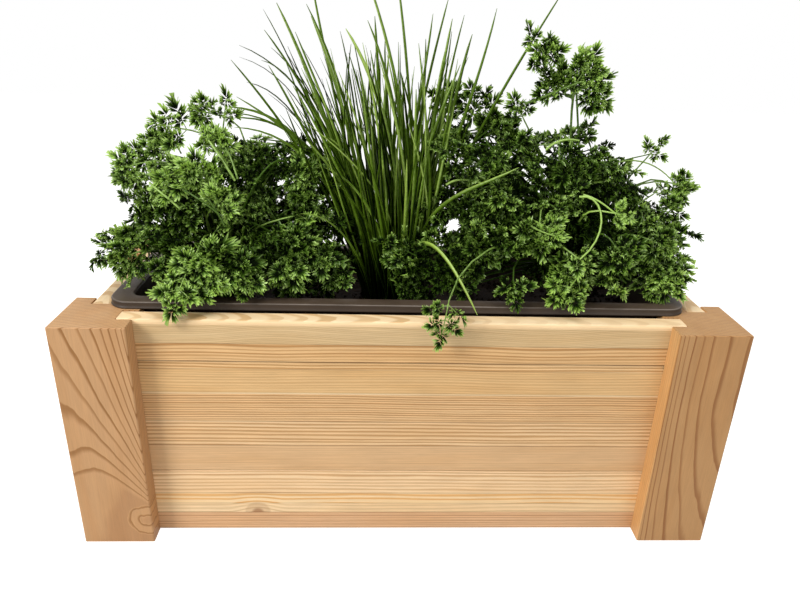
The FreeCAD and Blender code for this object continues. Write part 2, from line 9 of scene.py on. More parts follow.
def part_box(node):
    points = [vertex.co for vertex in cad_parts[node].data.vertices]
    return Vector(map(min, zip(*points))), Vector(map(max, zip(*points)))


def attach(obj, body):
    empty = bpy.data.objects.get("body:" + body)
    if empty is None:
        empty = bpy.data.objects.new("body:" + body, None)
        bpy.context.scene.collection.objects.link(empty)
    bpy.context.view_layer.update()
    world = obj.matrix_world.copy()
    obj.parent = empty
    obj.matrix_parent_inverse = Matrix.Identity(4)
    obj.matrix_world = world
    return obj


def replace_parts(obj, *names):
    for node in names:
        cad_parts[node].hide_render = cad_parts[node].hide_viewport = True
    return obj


# Raised garden bed of larch with a lift-out liner, chives between two parsley plants.
# Same frame as the construction: +X along the length, +Y from front to rear, +Z up, origin on the ground.
# Lengths in the tables and in the wood fields are millimetres; meshes are built in metres.

MM = 0.001
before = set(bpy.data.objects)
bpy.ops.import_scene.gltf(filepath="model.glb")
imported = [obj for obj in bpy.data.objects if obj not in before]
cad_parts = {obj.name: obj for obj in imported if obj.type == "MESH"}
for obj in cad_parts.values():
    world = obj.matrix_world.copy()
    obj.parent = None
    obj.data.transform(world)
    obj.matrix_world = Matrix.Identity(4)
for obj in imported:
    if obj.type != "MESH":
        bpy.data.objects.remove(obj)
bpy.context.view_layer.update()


# Camera, light and floor

CAMERA_PLACE = Vector((-0.0386136, -0.7315704, 0.541144))
CAMERA_YAW = math.radians(2.884)
CAMERA_PITCH = math.radians(22.870)
CAMERA_ROLL = math.radians(1.968)
FOCAL_PIXELS = 668.38
IMAGE_WIDTH = 800
SENSOR_WIDTH = 36.0
LIGHT_TARGET = Vector((0.0, 0.0, 0.25))


def make_camera():
    """The photograph's viewpoint, looking down on the front wall with a slight roll."""
    data = bpy.data.cameras.new("camera")
    data.sensor_fit = "HORIZONTAL"
    data.sensor_width = SENSOR_WIDTH
    data.lens = FOCAL_PIXELS / IMAGE_WIDTH * SENSOR_WIDTH
    camera = bpy.data.objects.new("camera", data)
    bpy.context.scene.collection.objects.link(camera)
    level = math.cos(CAMERA_PITCH)
    forward = Vector((math.sin(CAMERA_YAW) * level, math.cos(CAMERA_YAW) * level, -math.sin(CAMERA_PITCH)))
    right = Vector((math.cos(CAMERA_YAW), -math.sin(CAMERA_YAW), 0.0))
    up = right.cross(forward)
    rolled_right = right * math.cos(CAMERA_ROLL) + up * math.sin(CAMERA_ROLL)
    rolled_up = up * math.cos(CAMERA_ROLL) - right * math.sin(CAMERA_ROLL)
    turn = Matrix((rolled_right, rolled_up, -forward)).transposed()
    camera.matrix_world = Matrix.Translation(CAMERA_PLACE) @ turn.to_4x4()
    bpy.context.scene.camera = camera


def make_softbox(name, place, width, power, warmth):
    """A square area lamp aimed at the middle of the bed's top."""
    data = bpy.data.lights.new(name, "AREA")
    data.shape = "SQUARE"
    data.size = width
    data.energy = power
    data.color = (1.0, warmth, warmth * warmth)
    lamp = bpy.data.objects.new(name, data)
    lamp.location = place
    lamp.rotation_euler = (LIGHT_TARGET - Vector(place)).to_track_quat("-Z", "Y").to_euler()
    bpy.context.scene.collection.objects.link(lamp)


def seen_directly(tree):
    """One for rays straight from the camera, off a mirror or through glass, and zero for the rest."""
    path = tree.nodes.new("ShaderNodeLightPath")
    names = ("Is Camera Ray", "Is Glossy Ray", "Is Transmission Ray")
    camera, glossy, transmission = (Field(tree, path.outputs[name]) for name in names)
    return camera.maths("MAXIMUM", glossy).maths("MAXIMUM", transmission)


def make_world():
    """Even light from all round, behind which the background shows white."""
    sky_level = 0.36
    world = bpy.data.worlds.new("studio")
    world.use_nodes = True
    bpy.context.scene.world = world
    tree = world.node_tree
    background = tree.nodes["Background"]
    background.inputs["Color"].default_value = (1.0, 1.0, 1.0, 1.0)
    level = seen_directly(tree) * (1.0 - sky_level) + sky_level
    level.feed(background.inputs["Strength"])


def make_floor():
    """A pale floor that shows white where nothing shades it, and keeps the object's shadow."""
    half = 4.0
    drop = 0.0004
    glow = 0.80
    mesh = bpy.data.meshes.new("floor")
    corners = [(-half, -half, -drop), (half, -half, -drop), (half, half, -drop), (-half, half, -drop)]
    mesh.from_pydata(corners, [], [(0, 1, 2, 3)])
    floor = bpy.data.objects.new("floor", mesh)
    bpy.context.scene.collection.objects.link(floor)
    material, tree, shader = new_material("pale_floor")
    shader.inputs["Base Color"].default_value = (0.62, 0.62, 0.61, 1.0)
    shader.inputs["Roughness"].default_value = 0.9
    shader.inputs["Specular IOR Level"].default_value = 0.0
    shader.inputs["Emission Color"].default_value = (1.0, 1.0, 1.0, 1.0)
    (seen_directly(tree) * glow).feed(shader.inputs["Emission Strength"])
    mesh.materials.append(material)


# Fields: numbers that vary over a surface


def connect(tree, value, socket):
    """Links a field to a socket, or sets the socket to a plain number."""
    if isinstance(value, Field):
        tree.links.new(value.socket, socket)
    else:
        socket.default_value = value


def maths(tree, operation, *values):
    """One arithmetic node."""
    node = tree.nodes.new("ShaderNodeMath")
    node.operation = operation
    for value, socket in zip(values, node.inputs):
        connect(tree, value, socket)
    return Field(tree, node.outputs[0])


class Field:
    """A node socket that takes ordinary arithmetic."""

    def __init__(self, tree, socket):
        self.tree = tree
        self.socket = socket

    def maths(self, operation, *others):
        """One arithmetic node with the field as its first value."""
        return maths(self.tree, operation, self, *others)

    def __add__(self, other):
        return self.maths("ADD", other)

    def __sub__(self, other):
        return self.maths("SUBTRACT", other)

    def __rsub__(self, other):
        return maths(self.tree, "SUBTRACT", other, self)

    def __mul__(self, other):
        return self.maths("MULTIPLY", other)

    def __truediv__(self, other):
        return self.maths("DIVIDE", other)

    def between(self, low, high, start=0.0, end=1.0):
        """Rises smoothly from start to end as the field goes from low to high."""
        node = self.tree.nodes.new("ShaderNodeMapRange")
        node.interpolation_type = "SMOOTHSTEP"
        names = ("Value", "From Min", "From Max", "To Min", "To Max")
        for name, value in zip(names, (self, low, high, start, end)):
            connect(self.tree, value, node.inputs[name])
        return Field(self.tree, node.outputs[0])

    def feed(self, socket):
        """Links the field to a socket."""
        self.tree.links.new(self.socket, socket)


def coordinates(tree, kind):
    """The three parts of the shaded point's place or direction, in the object's own frame."""
    source = tree.nodes.new("ShaderNodeTexCoord")
    split = tree.nodes.new("ShaderNodeSeparateXYZ")
    tree.links.new(source.outputs[kind], split.inputs[0])
    return [Field(tree, output) for output in split.outputs]


def surface_point(tree):
    """The shaded point's place in millimetres."""
    return [part / MM for part in coordinates(tree, "Object")]


def cloudy(tree, x, y, z, detail=2.0, roughness=0.5):
    """Smooth noise from 0 to 1 over three coordinates."""
    place = tree.nodes.new("ShaderNodeCombineXYZ")
    for value, socket in zip((x, y, z), place.inputs):
        connect(tree, value, socket)
    node = tree.nodes.new("ShaderNodeTexNoise")
    node.inputs["Scale"].default_value = 1.0
    node.inputs["Detail"].default_value = detail
    node.inputs["Roughness"].default_value = roughness
    tree.links.new(place.outputs[0], node.inputs["Vector"])
    return Field(tree, node.outputs["Fac"])


def even_cloud(tree, point, reach, detail, roughness=0.5):
    """Noise with the same reach in all directions, in millimetres."""
    return cloudy(tree, *(part / reach for part in point), detail, roughness)


def by_number(tree, number):
    """A steady random value from 0 to 1 for each whole number."""
    node = tree.nodes.new("ShaderNodeTexWhiteNoise")
    node.noise_dimensions = "1D"
    connect(tree, number, node.inputs["W"])
    return Field(tree, node.outputs["Value"])


def attribute(tree, name):
    """A number kept in the mesh."""
    node = tree.nodes.new("ShaderNodeAttribute")
    node.attribute_name = name
    return Field(tree, node.outputs["Fac"])


# Places of the colours among a mixing node's sockets, which also take numbers and vectors
MIX_FIRST, MIX_SECOND, MIX_RESULT = 6, 7, 2


def mixed(tree, share, first, second, blend="MIX"):
    """Two colours mixed; a colour is a tuple or a colour socket."""
    node = tree.nodes.new("ShaderNodeMix")
    node.data_type = "RGBA"
    node.blend_type = blend
    connect(tree, share, node.inputs["Factor"])
    for colour, place in ((first, MIX_FIRST), (second, MIX_SECOND)):
        if isinstance(colour, tuple):
            node.inputs[place].default_value = (*colour, 1.0)
        else:
            tree.links.new(colour, node.inputs[place])
    return node.outputs[MIX_RESULT]


def tinted(tree, colour, tint):
    """A colour times a tint."""
    return mixed(tree, 1.0, colour, tint, "MULTIPLY")


def dimmed(tree, colour, level):
    """A colour times a field."""
    node = tree.nodes.new("ShaderNodeVectorMath")
    node.operation = "SCALE"
    tree.links.new(colour, node.inputs[0])
    connect(tree, level, node.inputs["Scale"])
    return node.outputs[0]


def new_material(name):
    """A material with a bare Principled shader, and its tree."""
    material = bpy.data.materials.new(name)
    material.use_nodes = True
    return material, material.node_tree, material.node_tree.nodes["Principled BSDF"]


def coated(tree, shader, colour, roughness, gloss):
    """Gives a shader its colour, its roughness and the strength of its gloss."""
    tree.links.new(colour, shader.inputs["Base Color"])
    connect(tree, roughness, shader.inputs["Roughness"])
    connect(tree, gloss, shader.inputs["Specular IOR Level"])


def bumped(tree, shader, height, depth):
    """Raises the surface by a height field whose full swing is a depth in metres."""
    node = tree.nodes.new("ShaderNodeBump")
    node.inputs["Strength"].default_value = 1.0
    node.inputs["Distance"].default_value = depth
    height.feed(node.inputs["Height"])
    tree.links.new(node.outputs["Normal"], shader.inputs["Normal"])


# Larch

# What late wood keeps of the early wood's red, green and blue
LATE_TINT = (0.62, 0.51, 0.37)
# What the broad warm patches keep of it
WARM_TINT = (0.95, 0.90, 0.83)
END_GRAIN_TINT = (1.08, 1.12, 1.16)
KNOT = (0.34, 0.165, 0.070)
# How far apart the year rings lie, going in from a face
RING_DEPTH = 4.0
# Where a post's outer face lies, the rear posts being turned round
POST_FACE = -146.0


class Larch:
    """A larch finish in the making: its nodes, and the surface's place along, across and into the grain."""

    def __init__(self, name, along, seed, turned=False):
        self.material, self.tree, self.shader = new_material(name)
        self.seed = seed
        point = dict(zip("xyz", surface_point(self.tree)))
        direction = dict(zip("xyz", coordinates(self.tree, "Normal")))
        across, depth = {"x": "zy", "y": "zx", "z": "xy"}[along]
        self.length, self.across, self.depth = point[along], point[across], point[depth]
        if turned:
            self.across = self.across * -1.0
            self.depth = self.depth * -1.0
        self.facing = direction
        self.end_share = direction[along].maths("ABSOLUTE").between(0.75, 0.95)
        self.upward = direction["z"].between(0.6, 0.9)

    def cloud(self, along, across, detail=2.0, roughness=0.5):
        """Noise drawn out along the grain: its reach along and across in millimetres."""
        inwards = self.depth / across + self.seed
        return cloudy(self.tree, self.length / along, self.across / across, inwards, detail, roughness)

    def finish(self, rings, early, late, contrast, late_start, shade=None, knot=None, fades=False):
        """Colour, gloss and relief from a count of year rings, whose late wood sets in or fades slowly."""
        tree = self.tree
        relief = 0.00022
        strength = by_number(tree, rings.maths("FLOOR") + self.seed)
        season = rings.maths("FRACT")
        if fades:
            late_wood = season.between(late_start, late_start + 0.05)
            late_wood = late_wood * season.between(late_start + 0.08, 1.0, 1.0, 0.0)
        else:
            late_wood = season.between(late_start, 0.55 * late_start + 0.42)
            late_wood = late_wood * season.between(0.95, 1.0, 1.0, 0.0)
        late_share = (late_wood * (strength * 0.5 + 0.65) * contrast).maths("MINIMUM", 1.0)
        fibre = self.cloud(30.0, 0.8, 3.0, 0.6)
        flecks = self.cloud(6.0, 0.7, 1.0).between(0.66, 0.80)
        warmth = self.cloud(190.0, 20.0).between(0.35, 0.72)
        colour = mixed(tree, warmth, early, tinted(tree, early, WARM_TINT))
        colour = mixed(tree, late_share, colour, late)
        if knot is not None:
            colour = mixed(tree, knot, colour, KNOT)
        mottle = self.cloud(48.0, 15.0, 3.0) - 0.5
        level = (fibre - 0.5) * 0.34 + mottle * 0.22 + 1.0 - flecks * 0.07
        if shade is not None:
            level = level * shade
        colour = dimmed(tree, colour, level)
        colour = mixed(tree, self.end_share, colour, tinted(tree, colour, END_GRAIN_TINT))
        coated(tree, self.shader, colour, late_share * -0.10 + fibre * 0.16 + 0.50, 0.35)
        bumped(tree, self.shader, late_share * 0.6 + fibre * 0.5, relief)
        return self.material


def stepped(height, feet, values):
    """A number that changes from one value to the next at each foot that the height passes."""
    total = height * 0.0 + values[0]
    for foot, before, after in zip(feet, values, values[1:]):
        total = total + height.maths("GREATER_THAN", foot) * (after - before)
    return total


def stepped_colour(tree, height, feet, colours):
    """The same for colours."""
    total = colours[0]
    for foot, colour in zip(feet, colours[1:]):
        total = mixed(tree, height.maths("GREATER_THAN", foot), total, colour)
    return total


def length_of(*parts):
    """The length of a vector of fields."""
    total = parts[0] * parts[0]
    for part in parts[1:]:
        total = total + part * part
    return total.maths("SQRT")


def fan_post(name, seed, turned):
    """A post whose rings fan out from the inner arris, near a knot, and fold over beside the outer one."""
    board = Larch(name, "z", seed, turned)
    fan_foot = (-252.0, 36.0)
    knot_middle = (-275.0, 30.0)
    knot_ring = 10.0
    first_knot_ring = 20.0
    ring_rate, ring_shift, last_ring = 4.87, 3.35, 22.3
    fold_radius = 13.0
    fold = board.length.between(70.0, 290.0, -321.0, -365.0)
    beyond = board.across - fold
    from_fold = length_of(beyond.maths("MAXIMUM", beyond * 0.55), board.across * 0.0 + fold_radius)
    run = fan_foot[0] - fold - from_fold
    turn = run.maths("ARCTAN2", board.length - fan_foot[1]) * math.degrees(1.0)
    fan = turn.maths("MAXIMUM", 1.0).maths("LOGARITHM", math.e) * ring_rate + ring_shift
    waves = (board.cloud(60.0, 14.0) - 0.5) * 0.30 + (board.cloud(110.0, 40.0) - 0.5) * 0.8
    wobble = waves * turn.between(42.0, 50.0, 1.0, 0.3)
    rings = fan.maths("MINIMUM", last_ring) + wobble + (board.depth - POST_FACE) / RING_DEPTH
    gap = length_of((board.across - knot_middle[0]) * 0.9, board.length - knot_middle[1])
    gap = gap + (board.cloud(26.0, 12.0) - 0.5) * 9.0
    inside = gap.maths("LESS_THAN", 2.0 * knot_ring)
    rings = rings + inside * (gap / knot_ring + first_knot_ring - rings)
    dark_edge = board.across - board.length * 0.42 + 330.0 + (board.cloud(30.0, 12.0) - 0.5) * 14.0
    dark_patch = dark_edge.between(-4.0, 8.0) * turn.between(45.0, 52.0) * (1.0 - inside) * 0.42
    core = gap.between(3.0, 8.0, 0.35, 0.0) + dark_patch
    early = (0.528, 0.299, 0.139)
    late = (0.295, 0.132, 0.036)
    return board.finish(rings, early, late, 1.15, 0.66, knot=core, fades=True)


def arch_post(name, seed, turned):
    """A post with rings close together at the inner arris, wider outwards and flaring towards the foot; its
    inner side is painted lighter, as if lit by the key light.
    """
    board = Larch(name, "z", seed, turned)
    ring_origin = 262.0
    ring_rate, ring_shift = 3.33, 0.12
    flare_top = 190.0
    out = board.across - ring_origin
    flare = (1.0 - board.length / flare_top).maths("MAXIMUM", 0.0)
    reach = out * 2.0 / ((flare * flare * out * 0.1 + 1.0).maths("SQRT") + 1.0)
    wobble = (board.cloud(70.0, 14.0) - 0.5) * 0.40
    fan = reach.maths("LOGARITHM", math.e) * ring_rate + ring_shift
    rings = fan + wobble + (board.depth - POST_FACE) / RING_DEPTH
    # The inner side's lighter colours are painted light, standing in for the key light that falls on that
    # side
    painted_lit_side = board.facing["x"].between(-0.9, -0.6, 1.0, 0.0)
    early = mixed(board.tree, painted_lit_side, (0.478, 0.262, 0.107), (0.690, 0.396, 0.162))
    late = mixed(board.tree, painted_lit_side, (0.275, 0.112, 0.028), (0.560, 0.280, 0.092))
    return board.finish(rings, early, late, 1.15, 0.68, fades=True)


# The lamellas that each plank is glued from, upwards: foot, width and wandering of the year rings, contrast,
# early wood and what late wood keeps of it
LAMELLAS = {
    "strip": ((0.0, 2.6, 2.0, 0.85, (0.755, 0.475, 0.270), LATE_TINT),),
    "lower_plank": (
        (0.0, 5.0, 5.0, 0.75, (0.875, 0.640, 0.375), (0.70, 0.64, 0.56)),
        (13.0, 7.0, 4.0, 1.0, (0.890, 0.650, 0.370), (0.80, 0.58, 0.34)),
        (27.0, 4.8, 3.0, 1.0, (0.880, 0.630, 0.368), (0.68, 0.56, 0.44)),
    ),
    "middle_plank": (
        (0.0, 2.0, 1.5, 0.40, (0.710, 0.463, 0.246), LATE_TINT),
        (33.5, 4.6, 2.0, 1.0, (0.800, 0.545, 0.300), LATE_TINT),
        (64.0, 2.8, 2.0, 1.05, (0.765, 0.502, 0.260), LATE_TINT),
    ),
    "upper_plank": (
        # The first band is no lamella but a pale line painted along the plank's foot: a painted highlight of
        # its lower edge
        (0.0, 3.0, 0.5, 0.10, (0.93, 0.69, 0.40), LATE_TINT),
        (2.0, 3.2, 4.0, 0.45, (0.730, 0.475, 0.222), LATE_TINT),
        (29.5, 3.6, 3.0, 1.1, (0.770, 0.510, 0.255), LATE_TINT),
    ),
    "top_plank": (
        (0.0, 3.6, 8.0, 0.95, (0.745, 0.475, 0.225), LATE_TINT),
        (20.5, 2.1, 16.0, 0.60, (0.680, 0.490, 0.262), (0.70, 0.62, 0.50)),
    ),
}
# The top planks' upper faces, where the rings run out in arcs
PLANK_TOP = (0.93, 0.71, 0.435)
PLANK_TOP_LATE = (0.70, 0.55, 0.37)
# A pale band below them, painted along their rounded arrises as a painted highlight: its height and colour
ARRIS_HIGHLIGHT_HEIGHT = 5.0
ARRIS_HIGHLIGHT = (0.85, 0.61, 0.345)
# Planks whose lower or upper edge lies at an open seam
OPEN_BELOW = ("middle_plank", "top_plank")
OPEN_ABOVE = ("lower_plank", "upper_plank")
# How far the shade at a seam reaches, and what light it leaves there
SEAM_REACH = 1.8
OPEN_SEAM, CLOSED_SEAM = 0.30, 0.70


def plank(node, along, side, kind, seed):
    """A plank with its lamellas' rings along it, dark towards its seams."""
    low, high = (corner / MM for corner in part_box(node))
    board = Larch(f"larch_{node}", along, seed)
    tree = board.tree
    depth_axis = 1 if along == "x" else 0
    inward = (board.depth - (low if side < 0 else high)[depth_axis]) * -side
    height = board.across - low.z
    lamella_seed = 5.3
    feet, *numbers, early, tint = zip(*LAMELLAS[kind])
    seeds = [lamella_seed * number for number in range(len(feet))]
    feet = feet[1:]
    width, wander, contrast = (stepped(height, feet, values) for values in numbers)
    own = stepped(height, feet, seeds) + seed
    early, tint = (stepped_colour(tree, height, feet, colours) for colours in (early, tint))
    swing = (cloudy(tree, board.length / 230.0, own, 0.0, 1.0) - 0.5) * wander * 2.0
    bare = height
    knot = None
    if node == "front_lower_plank":
        knot_place, knot_radius = -160.0, 15.0
        beside = (board.length - knot_place).maths("ABSOLUTE")
        bare = height - beside.between(0.0, 34.0, 6.0, 0.0) * height.between(6.0, 34.0, 1.0, 0.0)
        gap = length_of(beside / knot_radius, height / knot_radius)
        knot = gap.between(0.25, 0.55, 0.85, 0.30) * gap.between(0.85, 1.05, 1.0, 0.0)
    count = (bare + swing) / width + inward / RING_DEPTH
    top = high.z - low.z
    shade = height.between(0.0, SEAM_REACH, OPEN_SEAM if kind in OPEN_BELOW else CLOSED_SEAM, 1.0)
    for foot in feet:
        shade = shade * (height - foot).maths("ABSOLUTE").between(0.2, 0.9, 0.76, 1.0)
    if kind == "top_plank":
        arc_middle, arc_bend, arc_gap = 7.0, 0.16, 29.0
        lie = (cloudy(tree, board.length / 140.0, own, 7.0, 1.0) - 0.5) * 70.0
        aside = inward - arc_middle
        arcs = (board.length + lie + aside * aside * arc_bend) / arc_gap
        count = count + board.facing["z"].maths("GREATER_THAN", 0.8) * (arcs - count)
        # A painted highlight: a pale band just below the top edge, where the rounded arris would catch the
        # light
        arris_highlight = height.between(top - ARRIS_HIGHLIGHT_HEIGHT - 0.7, top - ARRIS_HIGHLIGHT_HEIGHT + 0.7)
        pale = board.upward.maths("MAXIMUM", arris_highlight)
        early = mixed(tree, arris_highlight, early, ARRIS_HIGHLIGHT)
        early = mixed(tree, board.upward, early, PLANK_TOP)
        tint = mixed(tree, pale, tint, PLANK_TOP_LATE)
        top_contrast = board.length.between(-60.0, 140.0, 0.75, 0.25) * board.upward
        contrast = contrast + pale * (top_contrast - contrast)
    else:
        light_above = OPEN_SEAM if kind in OPEN_ABOVE else CLOSED_SEAM
        shade = shade * height.between(top - SEAM_REACH, top, 1.0, light_above)
    uneven = (cloudy(tree, count / 2.2, own, 3.0, 2.0) - 0.5) * 1.7
    wobble = (board.cloud(90.0, 12.0) - 0.5) * 0.5
    late = tinted(tree, early, tint)
    return board.finish(count + uneven + wobble + own, early, late, contrast, 0.42, shade, knot)


def dress_wood():
    """One board of larch for every post and plank."""
    for node, make, seed, turned in (
        ("post_front_left", fan_post, 2.0, False),
        ("post_front_right", arch_post, 9.0, False),
        ("post_rear_right", fan_post, 14.0, True),
        ("post_rear_left", arch_post, 21.0, True),
    ):
        paint(node, make(f"larch_{node}", seed, turned))
    plank_seed = 3.7
    for wall, along, side, wall_seed in (
        ("front", "x", -1, 0.0),
        ("right", "y", 1, 31.0),
        ("rear", "x", 1, 53.0),
        ("left", "y", -1, 77.0),
    ):
        for number, kind in enumerate(LAMELLAS):
            node = f"{wall}_{kind}"
            paint(node, plank(node, along, side, kind, wall_seed + plank_seed * number))


def paint(node, material):
    """Gives a node of the construction its finish."""
    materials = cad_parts[node].data.materials
    materials.clear()
    materials.append(material)


# Steel and moulded plastic


def zinc_steel():
    """Bright zinc plating with fine pits and a little haze."""
    material, tree, shader = new_material("zinc_steel")
    point = surface_point(tree)
    haze = even_cloud(tree, point, 2.0, 3.0)
    colour = mixed(tree, haze, (0.55, 0.56, 0.58), (0.68, 0.68, 0.67))
    coated(tree, shader, colour, haze * 0.2 + 0.28, 0.5)
    shader.inputs["Metallic"].default_value = 1.0
    bumped(tree, shader, even_cloud(tree, point, 0.4, 1.0), 0.00003)
    return material


def liner_plastic():
    """Brown-grey moulded plastic with a fine sand texture, dusty on top, painted lighter on top and darker
    on its sides, with a painted highlight along its rim's outer edge.
    """
    material, tree, shader = new_material("liner_plastic")
    point = surface_point(tree)
    cloud = even_cloud(tree, point, 40.0, 3.0)
    grains = even_cloud(tree, point, 0.55, 2.0)
    upward = coordinates(tree, "Normal")[2].between(0.7, 1.0)
    colour = mixed(tree, cloud.between(0.3, 0.7), (0.046, 0.030, 0.019), (0.060, 0.040, 0.026))
    dust = upward * even_cloud(tree, point, 9.0, 3.0).between(0.25, 0.8, 0.10, 0.40)
    colour = mixed(tree, dust, colour, (0.100, 0.072, 0.052))
    # Painted light: faces turned up are painted lighter and the sides darker
    colour = dimmed(tree, colour, upward * 0.36 + 0.76)
    # A pale line painted along the rim's outer top edge: a painted highlight
    painted_edge_highlight = attribute(tree, "tone").between(0.55, 1.0) * cloud.between(0.35, 0.65, 0.35, 0.85)
    colour = mixed(tree, painted_edge_highlight, colour, (0.215, 0.180, 0.150))
    coated(tree, shader, colour, cloud * 0.12 + grains * 0.08 + 0.36, 0.30)
    bumped(tree, shader, grains, 0.00006)
    return material


# Meshes put together from many small shapes


class Gather:
    """Collects points, faces and a tone for each point, and makes one mesh of them."""

    def __init__(self):
        self.points = []
        self.tones = []
        self.faces = []
        self.count = 0

    def add(self, points, faces, tone):
        """Takes in one shape, whose tone is one number or a number for each point."""
        points = np.asarray(points, float)
        self.points.append(points)
        self.tones.append(np.broadcast_to(np.asarray(tone, float), len(points)))
        self.faces.append(np.asarray(faces, int) + self.count)
        self.count += len(points)

    def build(self, name, material, smooth=True):
        """The gathered mesh as an object, its tone kept as a mesh attribute."""
        mesh = bpy.data.meshes.new(name)
        faces = [face for group in self.faces for face in group.tolist()]
        mesh.from_pydata(np.concatenate(self.points).tolist(), [], faces)
        mesh.polygons.foreach_set("use_smooth", np.full(len(mesh.polygons), smooth))
        tone = mesh.attributes.new("tone", "FLOAT", "POINT")
        tone.data.foreach_set("value", np.concatenate(self.tones).astype(np.float32))
        mesh.materials.append(material)
        mesh.update()
        piece = bpy.data.objects.new(name, mesh)
        bpy.context.scene.collection.objects.link(piece)
        return piece


def grid_faces(rows, columns, closed):
    """Quads between the rows of a grid of points, joined round where the rows are closed."""
    first = np.arange(columns if closed else columns - 1)
    following = (first + 1) % columns
    bands = np.arange(rows - 1)[:, None] * columns
    above = bands + columns
    quads = (bands + first, bands + following, above + following, above + first)
    return np.stack(quads, axis=-1).reshape(-1, 4)


def unit(vector):
    """A vector, or each row of vectors, brought to length one."""
    return vector / np.linalg.norm(vector, axis=-1, keepdims=True)


def tube(path, widths, sides, flatness=1.0, turn=0.0):
    """A tapered tube along a path, its section flattened and turned about the path."""
    steep = (0.31, 0.17, 0.94)
    ahead = unit(np.gradient(path, axis=0))
    side = np.cross(ahead[0], steep)
    sides_along = []
    for direction in ahead:
        side = unit(side - direction * side.dot(direction))
        sides_along.append(side)
    side = np.array(sides_along)
    other = np.cross(ahead, side)
    cosine, sine = math.cos(turn), math.sin(turn)
    side, other = side * cosine + other * sine, other * cosine - side * sine
    turns = 2.0 * math.pi * np.arange(sides) / sides
    half = widths[:, None, None] / 2.0
    around = side[:, None] * np.cos(turns)[:, None] + other[:, None] * (flatness * np.sin(turns))[:, None]
    return (path[:, None] + around * half).reshape(-1, 3), grid_faces(len(path), sides, True)


def bezier(start, start_hand, end_hand, end, steps):
    """Points along a cubic curve."""
    share = np.linspace(0.0, 1.0, steps)[:, None]
    rest = 1.0 - share
    near = rest**3 * np.array(start) + 3 * rest**2 * share * np.array(start_hand)
    return near + 3 * rest * share**2 * np.array(end_hand) + share**3 * np.array(end)


def rounded_rectangle(half_length, half_depth, corner, height, steps=10):
    """Points round a level rectangle with rounded corners."""
    points = []
    corner = max(corner, 0.01)
    for quarter, (x, y) in enumerate(((1, -1), (1, 1), (-1, 1), (-1, -1))):
        for turn in np.linspace(quarter - 1, quarter, steps) * math.pi / 2:
            along = x * (half_length - corner) + corner * math.cos(turn)
            across = y * (half_depth - corner) + corner * math.sin(turn)
            points.append((along, across, height))
    return np.array(points) * MM


# The liner

LINER_BOX = [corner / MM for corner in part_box("planter_liner")]
SOIL_BOX = [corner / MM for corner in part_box("potting_soil")]
LINER_MIDDLE = (LINER_BOX[0].x + LINER_BOX[1].x) / 2
RIM_HALF = (LINER_BOX[1].x - LINER_MIDDLE, LINER_BOX[1].y)
RIM_TOP = LINER_BOX[1].z
RIM_FOOT = RIM_TOP - 8.0
RIM_CORNER = 22.0
# Width of the rim along the long sides, and how much wider it is at the ends
RIM_WIDTH = 18.5
RIM_END_EXTRA = 3.5
LINER_WALL = 2.4
LINER_BASE = LINER_BOX[0].z
LINER_TAPER = 17.0
TUB_CORNER = 12.0
SOIL_TOP = SOIL_BOX[1].z


def arc(centre_inset, centre_height, radius, start, end, steps=6):
    """Insets and heights along an arc, with angles in degrees from outwards towards up."""
    turns = np.radians(np.linspace(start, end, steps))
    return [
        (centre_inset - radius * math.cos(turn), centre_height + radius * math.sin(turn)) for turn in turns
    ]


def tub_inset(height):
    """How far inside the mouth the tub's inner wall stands at a height."""
    return LINER_TAPER * (RIM_TOP - height) / (RIM_TOP - LINER_BASE)


def liner_ring(inset, height, corner, steps=10):
    """Points round the liner at an inset from the rim's outer edge."""
    end_inset = inset + RIM_END_EXTRA * min(max(inset / RIM_WIDTH, 0.0), 1.0)
    ring = rounded_rectangle(RIM_HALF[0] - end_inset, RIM_HALF[1] - inset, corner, height, steps)
    return ring + (LINER_MIDDLE * MM, 0.0, 0.0)


